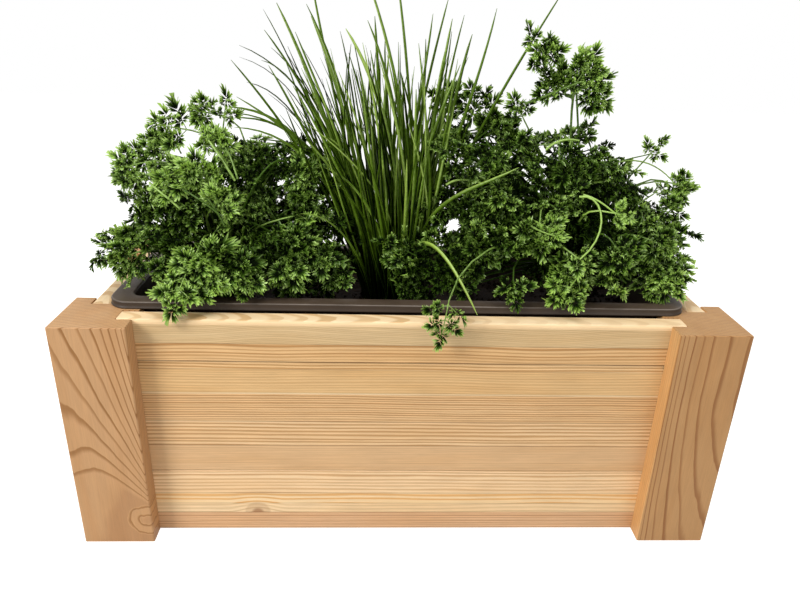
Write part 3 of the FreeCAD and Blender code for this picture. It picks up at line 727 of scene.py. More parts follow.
def make_liner():
    """The moulded liner: a rounded rim with a bead along its foot over a tapered tub, all one wall."""
    edge, lip, bead, foot_edge = 1.8, 2.4, 1.0, 6.0
    crown = 0.25
    waist = ((0.7, 2.9), (0.45, 2.5))
    inner_heights = (130.0, 180.0, 225.0, 250.0, 262.0)
    outer_heights = (255.0, 200.0, 140.0, 96.0)
    floor = LINER_BASE + LINER_WALL
    floor_foot = floor + foot_edge
    mouth = RIM_WIDTH - LINER_WALL
    profile = [(RIM_WIDTH + tub_inset(floor) + foot_edge, floor)]
    profile += arc(RIM_WIDTH + tub_inset(floor_foot) + foot_edge, floor_foot, foot_edge, -75, -5)
    profile += [(RIM_WIDTH + tub_inset(height), height) for height in inner_heights]
    profile += arc(RIM_WIDTH - lip, RIM_TOP - lip, lip, 180, 90)
    profile += [(RIM_WIDTH / 2, RIM_TOP + crown)]
    # The rings of the rim's outer top edge, which carry the painted highlight
    painted_edge_highlight = range(len(profile) + 2, len(profile) + 5)
    profile += arc(edge + 0.5, RIM_TOP - edge, edge, 90, 0, 8)
    profile += [(inset, RIM_FOOT + rise) for inset, rise in waist]
    profile += arc(bead, RIM_FOOT + bead, bead, 40, -90, 6)
    profile += [(LINER_WALL, RIM_FOOT), (LINER_WALL, RIM_TOP - LINER_WALL)]
    profile += [(mouth, RIM_TOP - LINER_WALL)]
    profile += [(mouth + tub_inset(height), height) for height in outer_heights]
    profile += arc(mouth + tub_inset(LINER_BASE) + foot_edge, LINER_BASE + foot_edge, foot_edge, -10, -90)
    rings = []
    for inset, height in profile:
        share = min(inset / RIM_WIDTH, 1.0)
        corner = RIM_CORNER + (TUB_CORNER - RIM_CORNER) * share - max(inset - RIM_WIDTH, 0.0) * 0.1
        rings.append(liner_ring(inset, height, corner))
    columns = len(rings[0])
    gather = Gather()
    tones = np.repeat([1.0 if number in painted_edge_highlight else 0.5 for number in range(len(rings))], columns)
    gather.add(np.concatenate(rings), grid_faces(len(rings), columns, True), tones)
    piece = gather.build("liner_tub", liner_plastic())
    close_ends(piece, columns, len(rings))
    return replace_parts(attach(piece, "liner"), "planter_liner")


def close_ends(piece, columns, rows):
    """Closes the first and the last ring of a piece with a flat face each, and turns all faces outwards."""
    mesh = bmesh.new()
    mesh.from_mesh(piece.data)
    mesh.verts.ensure_lookup_table()
    for first in (0, (rows - 1) * columns):
        mesh.faces.new([mesh.verts[number] for number in range(first, first + columns)])
    bmesh.ops.recalc_face_normals(mesh, faces=mesh.faces)
    mesh.to_mesh(piece.data)
    mesh.free()


# Potting soil

# Height of the lumps in metres
LUMP_HEIGHT = 0.0046
LUMPS_TO_THE_METRE = 38
# Rings of points over the soil's surface
SOIL_RINGS = 46
CRUMBS = 1500
# Every so many crumbs there is a pale one
PALE_CRUMB = 60
# The rings of points round a crumb of unit size: height and radius
CRUMB_RINGS = ((-0.9, 0.35), (-0.3, 0.95), (0.4, 0.85), (0.9, 0.3))
CRUMB_SIDES = 6
CRUMB_FACES = grid_faces(len(CRUMB_RINGS), CRUMB_SIDES, True)


def potting_soil():
    """Damp dark peat with brown fibres and a few pale grains."""
    material, tree, shader = new_material("potting_soil")
    x, y, z = surface_point(tree)
    crumbs = even_cloud(tree, (x, y, z), 3.0, 4.0, 0.65)
    fibres = cloudy(tree, x / 9.0, y / 1.3, z / 2.0, 2.0).between(0.60, 0.72)
    tone = attribute(tree, "tone")
    colour = mixed(tree, crumbs.between(0.3, 0.75), (0.007, 0.004, 0.003), (0.030, 0.018, 0.010))
    colour = mixed(tree, fibres * 0.6, colour, (0.085, 0.050, 0.028))
    colour = mixed(tree, tone.between(0.80, 0.95), colour, (0.30, 0.27, 0.22))
    coated(tree, shader, colour, crumbs * 0.3 + 0.65, 0.12)
    bumped(tree, shader, crumbs, 0.0012)
    return material


def soil_lump(point):
    """How far a lump lifts the soil at a point."""
    place = Vector((point[0] * LUMPS_TO_THE_METRE, point[1] * LUMPS_TO_THE_METRE, 0.3))
    return LUMP_HEIGHT * noise.fractal(place, 0.9, 2.1, 4)


def make_soil():
    """A lumpy fill with crumbs on top, closed all round."""
    draw = np.random.default_rng(11)
    wall_gap = 0.5
    floor_gap = 0.3
    foot_inset = 5.0
    crumb_margin = 9.0
    bottom = LINER_BASE + LINER_WALL + floor_gap
    gather = Gather()
    rings = []
    for height in (bottom, SOIL_TOP - 8.0, SOIL_TOP):
        inset = RIM_WIDTH + tub_inset(height) + wall_gap + (foot_inset if height == bottom else 0.0)
        rings.append(liner_ring(inset, height, TUB_CORNER, 40))
    outline = rings[-1]
    columns = len(outline)
    middle = np.array((LINER_MIDDLE * MM, 0.0, 0.0))
    for share in np.linspace(0.985, 0.02, SOIL_RINGS):
        ring = (outline - middle) * (share, share, 1.0) + middle
        for point in ring:
            point[2] += soil_lump(point) * min(1.0, (1.0 - share) * 12.0)
        rings.append(ring)
    gather.add(np.concatenate(rings), grid_faces(len(rings), columns, True), 0.2)
    crumb = rounded_crumb()
    limit_x = (RIM_HALF[0] - RIM_WIDTH - RIM_END_EXTRA - crumb_margin) * MM
    limit_y = (RIM_HALF[1] - RIM_WIDTH - crumb_margin) * MM
    for number in range(CRUMBS):
        place = middle + (draw.uniform(-limit_x, limit_x), draw.uniform(-limit_y, limit_y), SOIL_TOP * MM)
        place[2] += soil_lump(place)
        size = draw.uniform(0.0008, 0.0030)
        shape = crumb * draw.uniform(0.6, 1.3, 3) * (1.0 + 0.25 * draw.normal(size=(len(crumb), 1)))
        tone = 0.95 if number % PALE_CRUMB == 0 else draw.uniform(0.0, 0.6)
        gather.add(place + shape * size, CRUMB_FACES, tone)
    piece = gather.build("soil_fill", potting_soil())
    close_ends(piece, columns, len(rings))
    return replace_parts(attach(piece, "liner"), "potting_soil")


def rounded_crumb():
    """The points of a small lump of unit size."""
    turns = np.linspace(0.0, 2.0 * math.pi, CRUMB_SIDES, endpoint=False)
    flat = np.stack([np.cos(turns), np.sin(turns), np.ones(CRUMB_SIDES)], axis=-1)
    return np.concatenate([flat * (radius, radius, height) for height, radius in CRUMB_RINGS])


# Leaves

# How the light that comes through a leaf is tinted
THROUGH_TINT = (1.35, 1.15, 0.55)


def leaf_material(name, dark, middle, light, through, roughness):
    """Green leaf: tone from the mesh, fine mottling, a soft gloss and some light let through."""
    material, tree, shader = new_material(name)
    point = surface_point(tree)
    mottle = even_cloud(tree, point, 3.0, 3.0)
    level = attribute(tree, "tone") + (mottle - 0.5) * 0.35
    colour = mixed(tree, level.between(0.12, 0.54), dark, middle)
    colour = mixed(tree, level.between(0.54, 0.93), colour, light)
    coated(tree, shader, colour, mottle * 0.2 + roughness, level.between(0.38, 0.98, 0.03, 1.0))
    bumped(tree, shader, even_cloud(tree, point, 1.1, 2.0), 0.00035)
    glow = tree.nodes.new("ShaderNodeBsdfTranslucent")
    tree.links.new(tinted(tree, colour, THROUGH_TINT), glow.inputs["Color"])
    both = tree.nodes.new("ShaderNodeMixShader")
    both.inputs["Fac"].default_value = through
    tree.links.new(shader.outputs[0], both.inputs[1])
    tree.links.new(glow.outputs[0], both.inputs[2])
    tree.links.new(both.outputs[0], tree.nodes["Material Output"].inputs["Surface"])
    return material


# Chives

CHIVE_MIDDLE = np.array((-14.0, -2.0, SOIL_TOP))
CHIVE_LEAVES = 190
CHIVE_SIDES = 6
ROOT_DEPTH = 4.0
GOLDEN_ANGLE = math.pi * (3.0 - math.sqrt(5.0))
# Leaves that stand out of the clump: tip, width, tone and how far the leaf bows for its length
CHIVE_TIPS = (
    # To the left
    (-133, -14, 551, 6.6, 0.66, 0.05), (-149, 4, 545, 3.2, 0.40, 0.06), (-147, -8, 526, 5.0, 0.52, 0.09),
    (-176, 10, 510, 2.8, 0.36, 0.14), (-175, 2, 499, 2.2, 0.34, 0.13), (-181, -12, 497, 5.4, 0.48, 0.05),
    (-152, -4, 497, 3.4, 0.42, 0.13), (-143, 6, 509, 2.4, 0.36, 0.10), (-143, -16, 493, 5.0, 0.54, 0.03),
    (-170, 8, 474, 2.8, 0.36, 0.12), (-150, 20, 462, 2.4, 0.34, 0.10), (-128, -2, 470, 2.6, 0.62, 0.02),
    (-187, -12, 451, 5.6, 0.62, 0.17), (-178, -10, 461, 5.2, 0.66, 0.13), (-185, -14, 440, 4.6, 0.50, 0.18),
    (-192, -8, 444, 3.6, 0.56, 0.18), (-181, -16, 431, 4.6, 0.66, 0.18), (-160, -14, 418, 3.6, 0.46, 0.18),
    # Above the clump
    (-105, -4, 551, 5.2, 0.52, 0.03), (-104, 12, 592, 4.8, 0.60, 0.03), (-99, -22, 540, 6.8, 0.76, 0.04),
    (-116, -10, 525, 4.6, 0.50, 0.03), (-112, 14, 510, 2.6, 0.36, 0.05), (-72, 4, 527, 3.6, 0.42, 0.0),
    (-61, 10, 515, 4.0, 0.44, 0.0), (-37, -6, 542, 5.2, 0.48, 0.0), (-26, 6, 524, 4.2, 0.46, 0.0),
    (16, 8, 522, 4.2, 0.44, 0.0),
    # To the right
    (21, -8, 546, 4.8, 0.52, 0.0), (37, 2, 562, 4.4, 0.50, 0.03), (40, -14, 542, 4.4, 0.54, 0.0),
    (43, 12, 530, 3.2, 0.40, 0.0), (36, -10, 517, 4.6, 0.48, 0.0), (53, -4, 546, 4.2, 0.50, -0.02),
    (64, 8, 528, 4.4, 0.46, 0.02), (85, -6, 553, 4.6, 0.52, 0.02), (61, 6, 506, 3.4, 0.44, 0.03),
)
# Leaves with a course of their own: foot, two handles and tip, width and tone
LONE_CHIVES = (
    # Tall ones that lean left from the clump's right half
    ((0, -20, 232), (2, -24, 350), (-22, -28, 470), (-65, -30, 530), 7.2, 0.84),
    ((4, -12, 232), (6, -14, 340), (-4, -16, 455), (-44, -18, 538), 5.4, 0.56),
    ((12, -16, 232), (14, -20, 350), (-2, -24, 480), (-54, -26, 598), 5.2, 0.68),
    ((14, -8, 232), (12, -10, 350), (2, -13, 490), (-20, -15, 600), 4.8, 0.60),
    # Bent over the front rim
    ((2, -14, 232), (4, -30, 345), (30, -72, 345), (71, -119, 267), 6.2, 0.74),
    # Long flower stalk to the right
    ((14, 4, 232), (30, 4, 340), (84, 0, 452), (152, 0, 572), 3.9, 0.42),
    # Stalk lying over the right plant
    ((12, -12, 232), (2, -36, 370), (50, -62, 372), (106, -84, 410), 4.2, 0.56),
    # Bent leaves in front
    ((-26, -20, 232), (-34, -26, 330), (-52, -34, 428), (-92, -38, 428), 3.6, 0.84),
    ((-34, -22, 232), (-44, -40, 300), (-70, -50, 352), (-112, -52, 350), 3.2, 0.74),
    ((-10, -22, 232), (-14, -34, 300), (-36, -44, 380), (-86, -48, 398), 4.6, 0.66),
)


def chive_leaf(gather, path, width, tone, turn):
    """A hollow leaf, flattened, broad most of the way and then drawn to a tip, darker at its foot, with
    painted light and shade across its width.
    """
    share = np.linspace(0.0, 1.0, len(path))
    widths = width * np.interp(share, (0.0, 0.1, 0.4, 0.78, 0.95, 1.0), (0.65, 0.88, 1.0, 0.85, 0.52, 0.14))
    points, faces = tube(path * MM, widths * MM, CHIVE_SIDES, flatness=0.55, turn=turn)
    along = tone * np.interp(share, (0.0, 0.12, 0.4, 1.0), (0.18, 0.38, 0.95, 1.25))
    # Painted light and shade: one side of each leaf is lighter, the other darker
    around = 0.24 * np.cos(2.0 * math.pi * np.arange(CHIVE_SIDES) / CHIVE_SIDES)
    gather.add(points, faces, (along[:, None] + around).ravel())


def make_chives():
    """A clump of leaves that fan out of the soil, more of them leaning left."""
    draw = np.random.default_rng(5)
    gather = Gather()
    spread_x, spread_y = 32.0, 26.0
    lean_x, fan_x, fan_y = -30.0, 68.0, 60.0
    bow_back, bow_up = -1.2, 1.4
    broader = 1.02
    steps = np.linspace(0.0, 1.0, 16)
    for number in range(CHIVE_LEAVES):
        share = math.sqrt((number + 0.5) / CHIVE_LEAVES)
        turn = number * GOLDEN_ANGLE
        outward = np.array((math.cos(turn), math.sin(turn))) * share
        foot = CHIVE_MIDDLE + (spread_x * outward[0], spread_y * outward[1], -ROOT_DEPTH)
        reach_x = lean_x + fan_x * outward[0] + 14.0 * draw.normal()
        reach_y = fan_y * outward[1] + 18.0 * draw.normal()
        length = draw.uniform(190.0, 292.0)
        rise = math.sqrt(length**2 - reach_x**2 - reach_y**2)
        bend = draw.uniform(1.0, 2.2)
        sway = 10.0 * draw.normal(size=2)
        wave = np.sin(math.pi * steps)
        path = np.stack([
            foot[0] + reach_x * steps**bend + sway[0] * wave,
            foot[1] + reach_y * steps**bend + sway[1] * wave,
            foot[2] + rise * steps,
        ], axis=-1)
        width = draw.uniform(3.4, 5.0) if number % 2 else draw.uniform(2.2, 3.2)
        chive_leaf(gather, path, width, draw.uniform(0.24, 0.80), draw.uniform(-0.6, 0.6))
    for x, y, z, width, tone, bow in CHIVE_TIPS:
        tip = np.array((x, y, z), float)
        lean = tip - CHIVE_MIDDLE
        foot = CHIVE_MIDDLE + lean * (0.16, 0.6, 0.0) - (0.0, 0.0, ROOT_DEPTH)
        rise = np.array((bow_back * bow * lean[0], 0.0, bow_up * bow * np.linalg.norm(lean)))
        first_hand = foot + (tip - foot) * 0.35 + rise + 11.0 * draw.normal(size=3)
        second_hand = foot + (tip - foot) * 0.7 + rise + 9.0 * draw.normal(size=3)
        path = bezier(foot, first_hand, second_hand, tip, steps=18)
        chive_leaf(gather, path, broader * width, tone, draw.uniform(-0.5, 0.5))
    for foot, first_hand, second_hand, tip, width, tone in LONE_CHIVES:
        chive_leaf(gather, bezier(foot, first_hand, second_hand, tip, steps=22), width, tone, 0.0)
    material = leaf_material(
        "chive_leaf", (0.004, 0.011, 0.001), (0.095, 0.180, 0.009), (0.36, 0.53, 0.075), 0.12, 0.30
    )
    piece = gather.build("chive_clump", material)
    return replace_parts(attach(piece, "liner"), "chives")


# Parsley

# The toothed end of a lobe of unit length: places along and across
LOBE_END = np.array((
    (0.64, -0.25), (0.90, -0.28), (0.67, -0.10), (0.98, -0.08),
    (1.01, 0.06), (0.69, 0.10), (0.91, 0.27), (0.64, 0.25),
))
LOBE_ROWS = np.array((0.06, 0.55, 1.0))
LOBE_FACES = grid_faces(len(LOBE_ROWS), len(LOBE_END), False)
# How much lighter a lobe is painted from its foot to its teeth: painted shade at the foot, a painted
# highlight at the teeth
LOBE_PAINTED_LIGHT = np.array((-0.75, -0.14, 0.44))
# The lobes of a leaflet of unit length: place along its axis, turn in degrees and length
LEAFLET_LOBES = (
    (0.34, 0, 0.66), (0.27, 32, 0.60), (0.27, -32, 0.60), (0.16, 64, 0.56), (0.16, -64, 0.56),
    (0.06, 100, 0.44), (0.06, -100, 0.44),
)
# How far a lobe is folded, and how far it turns, in degrees, tilts and rolls at random
LOBE_FOLD = 0.7
LOBE_TURN, LOBE_TILT, LOBE_ROLL = 6.0, 0.22, 0.30
LEAFLET_FORMS = 24
LEAF_PIECES = 3
# Length of the blades and leaflets in the clumps
FROND_REACH = 40.0
CLUMP_LEAFLET = 16.0
# How far a stem's first handle rises, for its length
STEM_RISE = 0.5


def lobe_form(draw, curl):
    """One wedge-shaped lobe of unit length with a toothed end, folded along its middle and curled."""
    ends = LOBE_END * (1.0, draw.uniform(0.80, 1.05)) * draw.uniform(0.9, 1.1, (len(LOBE_END), 1))
    rows = LOBE_ROWS[:, None]
    x = rows * ends[:, 0]
    y = rows**0.65 * ends[:, 1]
    teeth = draw.normal(size=len(ends)) * (0.16 * curl)
    z = LOBE_FOLD * np.abs(y) + x**2 * (teeth + 0.15 * curl * draw.normal())
    return np.stack([x, y, z], axis=-1).reshape(-1, 3)


def leaflet_form(draw, curl):
    """A leaflet of unit length: a fan of lobes, bowed as a whole, with the tip along X."""
    lobes = Gather()
    for place, turn, length in LEAFLET_LOBES:
        turn = math.radians(turn + LOBE_TURN * draw.normal())
        tilt = curl * LOBE_TILT * draw.normal()
        roll = curl * LOBE_ROLL * draw.normal()
        shape = lobe_form(draw, curl) * (length * draw.uniform(0.85, 1.12))
        axes = Matrix.Rotation(turn, 3, "Z") @ Matrix.Rotation(-tilt, 3, "Y") @ Matrix.Rotation(roll, 3, "X")
        lights = np.repeat(LOBE_PAINTED_LIGHT, len(LOBE_END)) + 0.10 * draw.normal()
        lobes.add(shape @ np.array(axes).T + (place, 0.0, 0.0), LOBE_FACES, lights)
    points = np.concatenate(lobes.points)
    points[:, 2] += curl * draw.uniform(-0.5, 0.25) * (points[:, 0]**2 + 1.4 * points[:, 1]**2)
    return points, np.concatenate(lobes.faces), np.concatenate(lobes.tones)


def facing(ahead, normal):
    """Axes of a leaf that points ahead and faces about along the normal."""
    ahead = unit(ahead)
    side = unit(np.cross(normal, ahead))
    return np.stack([ahead, side, np.cross(ahead, side)])


class Parsley:
    """One parsley plant: fronds of lobed leaflets on branching stems."""

    def __init__(self, seed):
        self.draw = np.random.default_rng(seed)
        self.forms = [leaflet_form(self.draw, self.draw.uniform(0.6, 1.4)) for _ in range(LEAFLET_FORMS)]
        self.leaves = [Gather() for _ in range(LEAF_PIECES)]
        self.stems = Gather()
        self.fronds = 0

    def add_leaflet(self, place, ahead, normal, size, tone):
        """One of the leaflet forms, turned a little at random."""
        points, faces, lights = self.forms[self.draw.integers(LEAFLET_FORMS)]
        axes = facing(ahead + 0.25 * self.draw.normal(size=3), normal + 0.35 * self.draw.normal(size=3))
        tones = tone + lights + 0.07 * self.draw.normal()
        self.leaves[self.fronds % LEAF_PIECES].add((place + (points * size) @ axes) * MM, faces, tones)

    def add_stem(self, path, thick, thin, tone, sides=5):
        """A tapered stem along a path."""
        points, faces = tube(path * MM, np.linspace(thick, thin, len(path)) * MM, sides)
        self.stems.add(points, faces, tone)

    def add_pinna(self, place, ahead, normal, stalk, size, tone, whole=True):
        """A side stalk with a leaflet at its end and, where it is whole, one each side."""
        ahead = unit(ahead)
        end = place + ahead * stalk
        middle = (place + end) / 2 + unit(normal) * (0.08 * stalk)
        self.add_stem(np.stack([place, middle, end]), 1.2, 0.8, tone + 0.12, 3)
        side = unit(np.cross(normal, ahead))
        self.add_leaflet(end, ahead, normal, size, tone)
        for hand in (-1, 1) if whole else ():
            outward = ahead * 0.5 + side * (0.9 * hand)
            self.add_leaflet(place + ahead * (0.55 * stalk), outward, normal, size * 0.8, tone)

    def add_blade(self, base, tip, normal, leaflet, tone, pairs, whole):
        """The leaf blade from its base to its tip: pairs of side stalks, then one at the end."""
        draw = self.draw
        reach = np.linalg.norm(tip - base)
        ahead = unit(tip - base)
        normal = unit(normal - ahead * np.dot(normal, ahead))
        blade = max(reach - leaflet, 0.4 * reach)
        end = base + ahead * blade
        hump = normal * (0.10 * blade)
        hands = [base + ahead * (share * blade) + hump for share in (0.35, 0.7)]
        rachis = bezier(base, *hands, end, steps=9)
        self.add_stem(rachis, 1.7, 0.9, tone + 0.16, 4)
        side = unit(np.cross(normal, ahead))
        for pair in range(pairs):
            place = rachis[1 + (6 * pair) // pairs]
            stalk = reach * (0.27 - 0.10 * pair / pairs) * draw.uniform(0.85, 1.15)
            size = leaflet * (1.0 - 0.1 * pair) * draw.uniform(0.85, 1.15)
            for hand in (-1, 1):
                outward = ahead * 0.6 + side * hand * 0.9 + normal * draw.uniform(-0.25, 0.30)
                shade = tone + draw.uniform(-0.08, 0.08)
                self.add_pinna(place, outward, normal + side * (0.3 * hand), stalk, size, shade, whole)
        self.add_pinna(rachis[-3], unit(rachis[-1] - rachis[-3]), normal, 0.25 * blade, leaflet, tone)

    def add_frond(self, foot, base, tip, normal, leaflet, tone, pairs, whole):
        """A stem from the crown to a blade that runs from base to tip and faces along the normal."""
        foot, base, tip, normal = (np.asarray(value, float) for value in (foot, base, tip, normal))
        gap = np.linalg.norm(base - foot)
        rise = (0.0, 0.0, STEM_RISE * gap)
        stem = bezier(foot, foot + rise, base - unit(tip - base) * (0.35 * gap), base, steps=11)
        self.add_stem(stem, 2.8, 1.7, tone + 0.12)
        self.add_blade(base, tip, normal, leaflet, tone, pairs, whole)
        self.fronds += 1

    def add_clump(self, crown, middle, radii, fronds, tone):
        """Fronds laid over a ball, pointing out and down its sides, darker inside it and low on it, where
        their darkness is painted shade.
        """
        draw = self.draw
        for number in range(fronds):
            level = 1.0 - 1.45 * (number + 0.5) / fronds
            ring = math.sqrt(max(1.0 - level * level, 0.0))
            turn = number * GOLDEN_ANGLE + 0.25 * draw.normal()
            flat = np.array((math.cos(turn), math.sin(turn), 0.0))
            outward = flat * ring + (0.0, 0.0, level)
            inner = number % 3 == 2
            depth = draw.uniform(0.1, 0.5) if inner else draw.uniform(0.8, 1.1)
            base = middle + outward * radii * depth
            ahead = flat * 0.8 + (0.0, 0.0, 0.25 - 0.45 * ring) + 0.35 * draw.normal(size=3)
            normal = outward + (0.0, -0.25, 0.35) + 0.30 * draw.normal(size=3)
            foot = crown + flat * (14.0 * ring * draw.uniform(0.2, 1.0))
            # Painted shade: fronds inside the ball, and those low on it, get a lower tone
            shade = tone * (0.40 if inner else 0.68 + 0.32 * level) + 0.13 * draw.normal()
            tip = base + unit(ahead) * (FROND_REACH * draw.uniform(0.8, 1.2))
            leaflet = CLUMP_LEAFLET * draw.uniform(0.85, 1.2)
            self.add_frond(foot, base, tip, normal, leaflet, shade, 1, not inner)

    def build(self, name, node, material):
        """The plant's pieces, which ride with the liner; the first of the leaves stands for the node."""
        stems = self.stems.build(f"{name}_stems", material)
        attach(stems, "liner")
        for number, gather in enumerate(self.leaves, start=1):
            leaves = gather.build(f"{name}_leaves_{number}", material, False)
            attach(leaves, "liner")
            if number == 1:
                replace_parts(leaves, node)


# Fronds listed one by one: base and tip of the blade, leaflet length, tone, pairs of side stalks and, where
# the blade does not simply face the front, what it faces
UP_FRONT = (0.0, -0.7, 0.7)
FRONT = (0.0, -1.0, 0.3)
LEFT_FRONDS = (
    # Light sprigs at the top left
    ((-193, -8, 436), (-186, -8, 471), 16, 0.58, 1),
    ((-206, -4, 443), (-240, -4, 446), 18, 0.62, 2),
    ((-226, -12, 426), (-282, -12, 433), 19, 0.60, 2),
    ((-250, -20, 402), (-298, -20, 406), 19, 0.56, 2),
    ((-252, -20, 406), (-272, -20, 428), 16, 0.56, 1),
    ((-278, -30, 394), (-315, -30, 381), 19, 0.58, 2),
    ((-280, -30, 388), (-311, -30, 369), 16, 0.52, 1),
    ((-198, -30, 410), (-184, -30, 438), 19, 0.74, 2),
    ((-200, -30, 414), (-217, -30, 434), 16, 0.70, 1),
    ((-222, -50, 385), (-260, -58, 386), 18, 0.68, 2, UP_FRONT),
    ((-210, -50, 388), (-236, -58, 406), 18, 0.66, 2, UP_FRONT),
    ((-205, -50, 386), (-194, -56, 410), 17, 0.64, 2, UP_FRONT),
    ((-238, -52, 376), (-268, -60, 368), 18, 0.62, 2, UP_FRONT),
    ((-190, -66, 360), (-197, -74, 388), 17, 0.66, 2),
    ((-187, -66, 362), (-166, -74, 370), 17, 0.64, 1),
    # Low at the left end
    ((-284, -60, 306), (-322, -66, 291), 17, 0.62, 2),
    ((-282, -48, 312), (-311, -52, 324), 16, 0.62, 2),
    ((-282, -54, 300), (-306, -62, 282), 16, 0.54, 1),
    # Over the front rim
    ((-238, -80, 302), (-252, -98, 272), 18, 0.46, 2),
    ((-222, -98, 298), (-232, -142, 262), 21, 0.62, 2),
    ((-203, -92, 300), (-196, -118, 268), 23, 0.60, 2),
    ((-212, -86, 318), (-222, -103, 282), 25, 0.60, 2),
    ((-206, -86, 316), (-180, -100, 298), 25, 0.54, 2),
    ((-180, -84, 310), (-154, -99, 288), 24, 0.42, 2),
    ((-162, -88, 298), (-167, -110, 270), 18, 0.56, 2),
    ((-124, -74, 304), (-113, -94, 275), 21, 0.46, 2),
    # Dark ones towards the chives, their low tones painted shade
    ((-92, -60, 314), (-88, -83, 286), 20, 0.38, 2),
    ((-76, -60, 292), (-61, -73, 270), 16, 0.34, 2),
    ((-122, -30, 350), (-90, -40, 372), 20, 0.40, 2),
    ((-126, -40, 332), (-88, -56, 330), 20, 0.34, 2),
    ((-124, -20, 378), (-94, -20, 398), 18, 0.42, 2),
    ((-130, -60, 322), (-102, -80, 316), 20, 0.34, 2),
    ((-108, -40, 290), (-74, -50, 306), 18, 0.26, 2),
    ((-100, -30, 268), (-64, -44, 276), 18, 0.20, 2),
)
# Stalks that stand out: start, two handles and end, width and tone
LEFT_STALKS = (
    ((-231, -66, 357), (-242, -66, 368), (-252, -62, 374), (-262, -55, 380), 2.8, 0.80),
    ((-176, -55, 384), (-184, -54, 398), (-194, -44, 410), (-204, -35, 420), 3.0, 0.76),
    ((-173, -56, 386), (-176, -54, 396), (-180, -46, 406), (-187, -38, 414), 2.4, 0.68),
    ((-186, -70, 340), (-190, -72, 352), (-197, -72, 364), (-206, -68, 376), 2.4, 0.60),
    ((-190, -74, 354), (-204, -74, 366), (-218, -70, 374), (-233, -62, 379), 2.2, 0.58),
    ((-236, -24, 404), (-242, -20, 414), (-248, -16, 422), (-256, -12, 431), 1.8, 0.60),
)
# The tall sprig's fronds, which branch from the stalk there
SPRIG_FORK = (175.0, 0.0, 466.0)
TALL_SPRIG = (
    ((148, 0, 498), (114, 0, 542), 18, 0.54, 1),
    ((142, 0, 504), (146, 0, 536), 17, 0.46, 1),
    ((158, 0, 474), (128, 0, 500), 20, 0.44, 1),
    ((178, -2, 488), (200, -2, 524), 20, 0.56, 2),
    ((184, -2, 480), (224, -3, 460), 20, 0.56, 2),
    ((166, 0, 472), (162, 0, 508), 20, 0.46, 2),
    ((180, 0, 480), (216, -2, 490), 19, 0.50, 1),
)
RIGHT_FRONDS = (
    # Between the chives and the tall sprig
    ((124, 0, 446), (106, 0, 476), 18, 0.54, 1),
    ((90, 8, 424), (98, 8, 460), 19, 0.46, 2),
    ((110, 8, 418), (126, 8, 444), 19, 0.44, 2),
    # Behind the chives
    ((84, 30, 440), (66, 30, 485), 18, 0.44, 2),
    ((60, 30, 452), (18, 30, 470), 18, 0.44, 2),
    # Right end
    ((268, 0, 410), (286, 0, 434), 13, 0.54, 1),
    ((298, 0, 380), (331, 0, 373), 17, 0.58, 2),
    ((302, 0, 374), (326, 0, 352), 17, 0.54, 2),
    ((284, -15, 352), (319, -22, 348), 17, 0.50, 2),
    ((282, -30, 328), (316, -42, 318), 17, 0.52, 2),
    ((282, -62, 306), (294, -90, 270), 17, 0.56, 2),
    ((284, -50, 312), (304, -72, 282), 17, 0.58, 2),
    ((270, -62, 312), (282, -90, 268), 17, 0.50, 2),
    ((262, -58, 330), (290, -76, 318), 17, 0.50, 2),
    # In front
    ((207, -82, 366), (235, -84, 360), 13, 0.95, 1),
    ((136, -72, 352), (136, -93, 313), 21, 0.60, 2),
    ((142, -74, 348), (163, -86, 340), 14, 0.70, 1),
    ((178, -92, 302), (145, -112, 268), 19, 0.62, 2),
    ((111, -88, 294), (114, -112, 267), 17, 0.42, 1),
    ((40, -130, 288), (29, -150, 240), 15, 0.56, 2),
    ((176, -84, 308), (140, -95, 296), 20, 0.46, 2),
    ((172, -92, 322), (194, -98, 308), 18, 0.62, 1),
    ((216, -82, 330), (238, -96, 300), 20, 0.46, 2),
    # Round the foot of the chives
    ((24, -46, 296), (-36, -62, 330), 18, 0.42, 2, UP_FRONT),
    ((6, -50, 284), (-26, -60, 312), 17, 0.36, 2, UP_FRONT),
    ((14, -54, 272), (-16, -66, 292), 17, 0.30, 2),
    ((40, -46, 310), (20, -54, 340), 17, 0.38, 2),
    ((90, -40, 330), (50, -52, 332), 20, 0.36, 2),
    ((86, -50, 302), (48, -66, 296), 20, 0.28, 2),
    ((96, -20, 368), (62, -26, 382), 20, 0.40, 2),
    ((80, -30, 348), (42, -36, 356), 20, 0.36, 2),
    ((70, -58, 284), (38, -76, 276), 18, 0.24, 2),
    ((30, -50, 268), (-8, -60, 266), 17, 0.18, 2),
)
RIGHT_STALKS = (
    ((174, -70, 379), (198, -76, 386), (206, -92, 346), (174, -100, 322), 2.4, 0.86),
    ((178, -70, 381), (190, -76, 380), (200, -80, 372), (209, -82, 366), 2.0, 0.90),
    ((122, -8, 462), (140, -8, 468), (158, -8, 478), (180, -8, 486), 3.0, 0.64),
    ((200, 0, 236), (196, 0, 330), (174, 0, 420), (175, 0, 474), 3.2, 0.60),
    ((208, 0, 236), (206, 0, 330), (190, 0, 410), (178, 0, 474), 2.8, 0.54),
    ((142, -40, 420), (150, -40, 430), (162, -40, 433), (176, -38, 430), 2.6, 0.84),
    ((40, -44, 382), (50, -44, 390), (62, -44, 389), (76, -44, 385), 2.4, 0.86),
    ((236, 0, 402), (262, 0, 409), (286, 0, 396), (303, 0, 379), 1.8, 0.76),
    ((236, 0, 402), (248, 0, 407), (258, 0, 408), (270, 0, 412), 1.6, 0.60),
    ((122, -78, 352), (130, -80, 346), (146, -84, 340), (164, -86, 340), 2.0, 0.76),
)
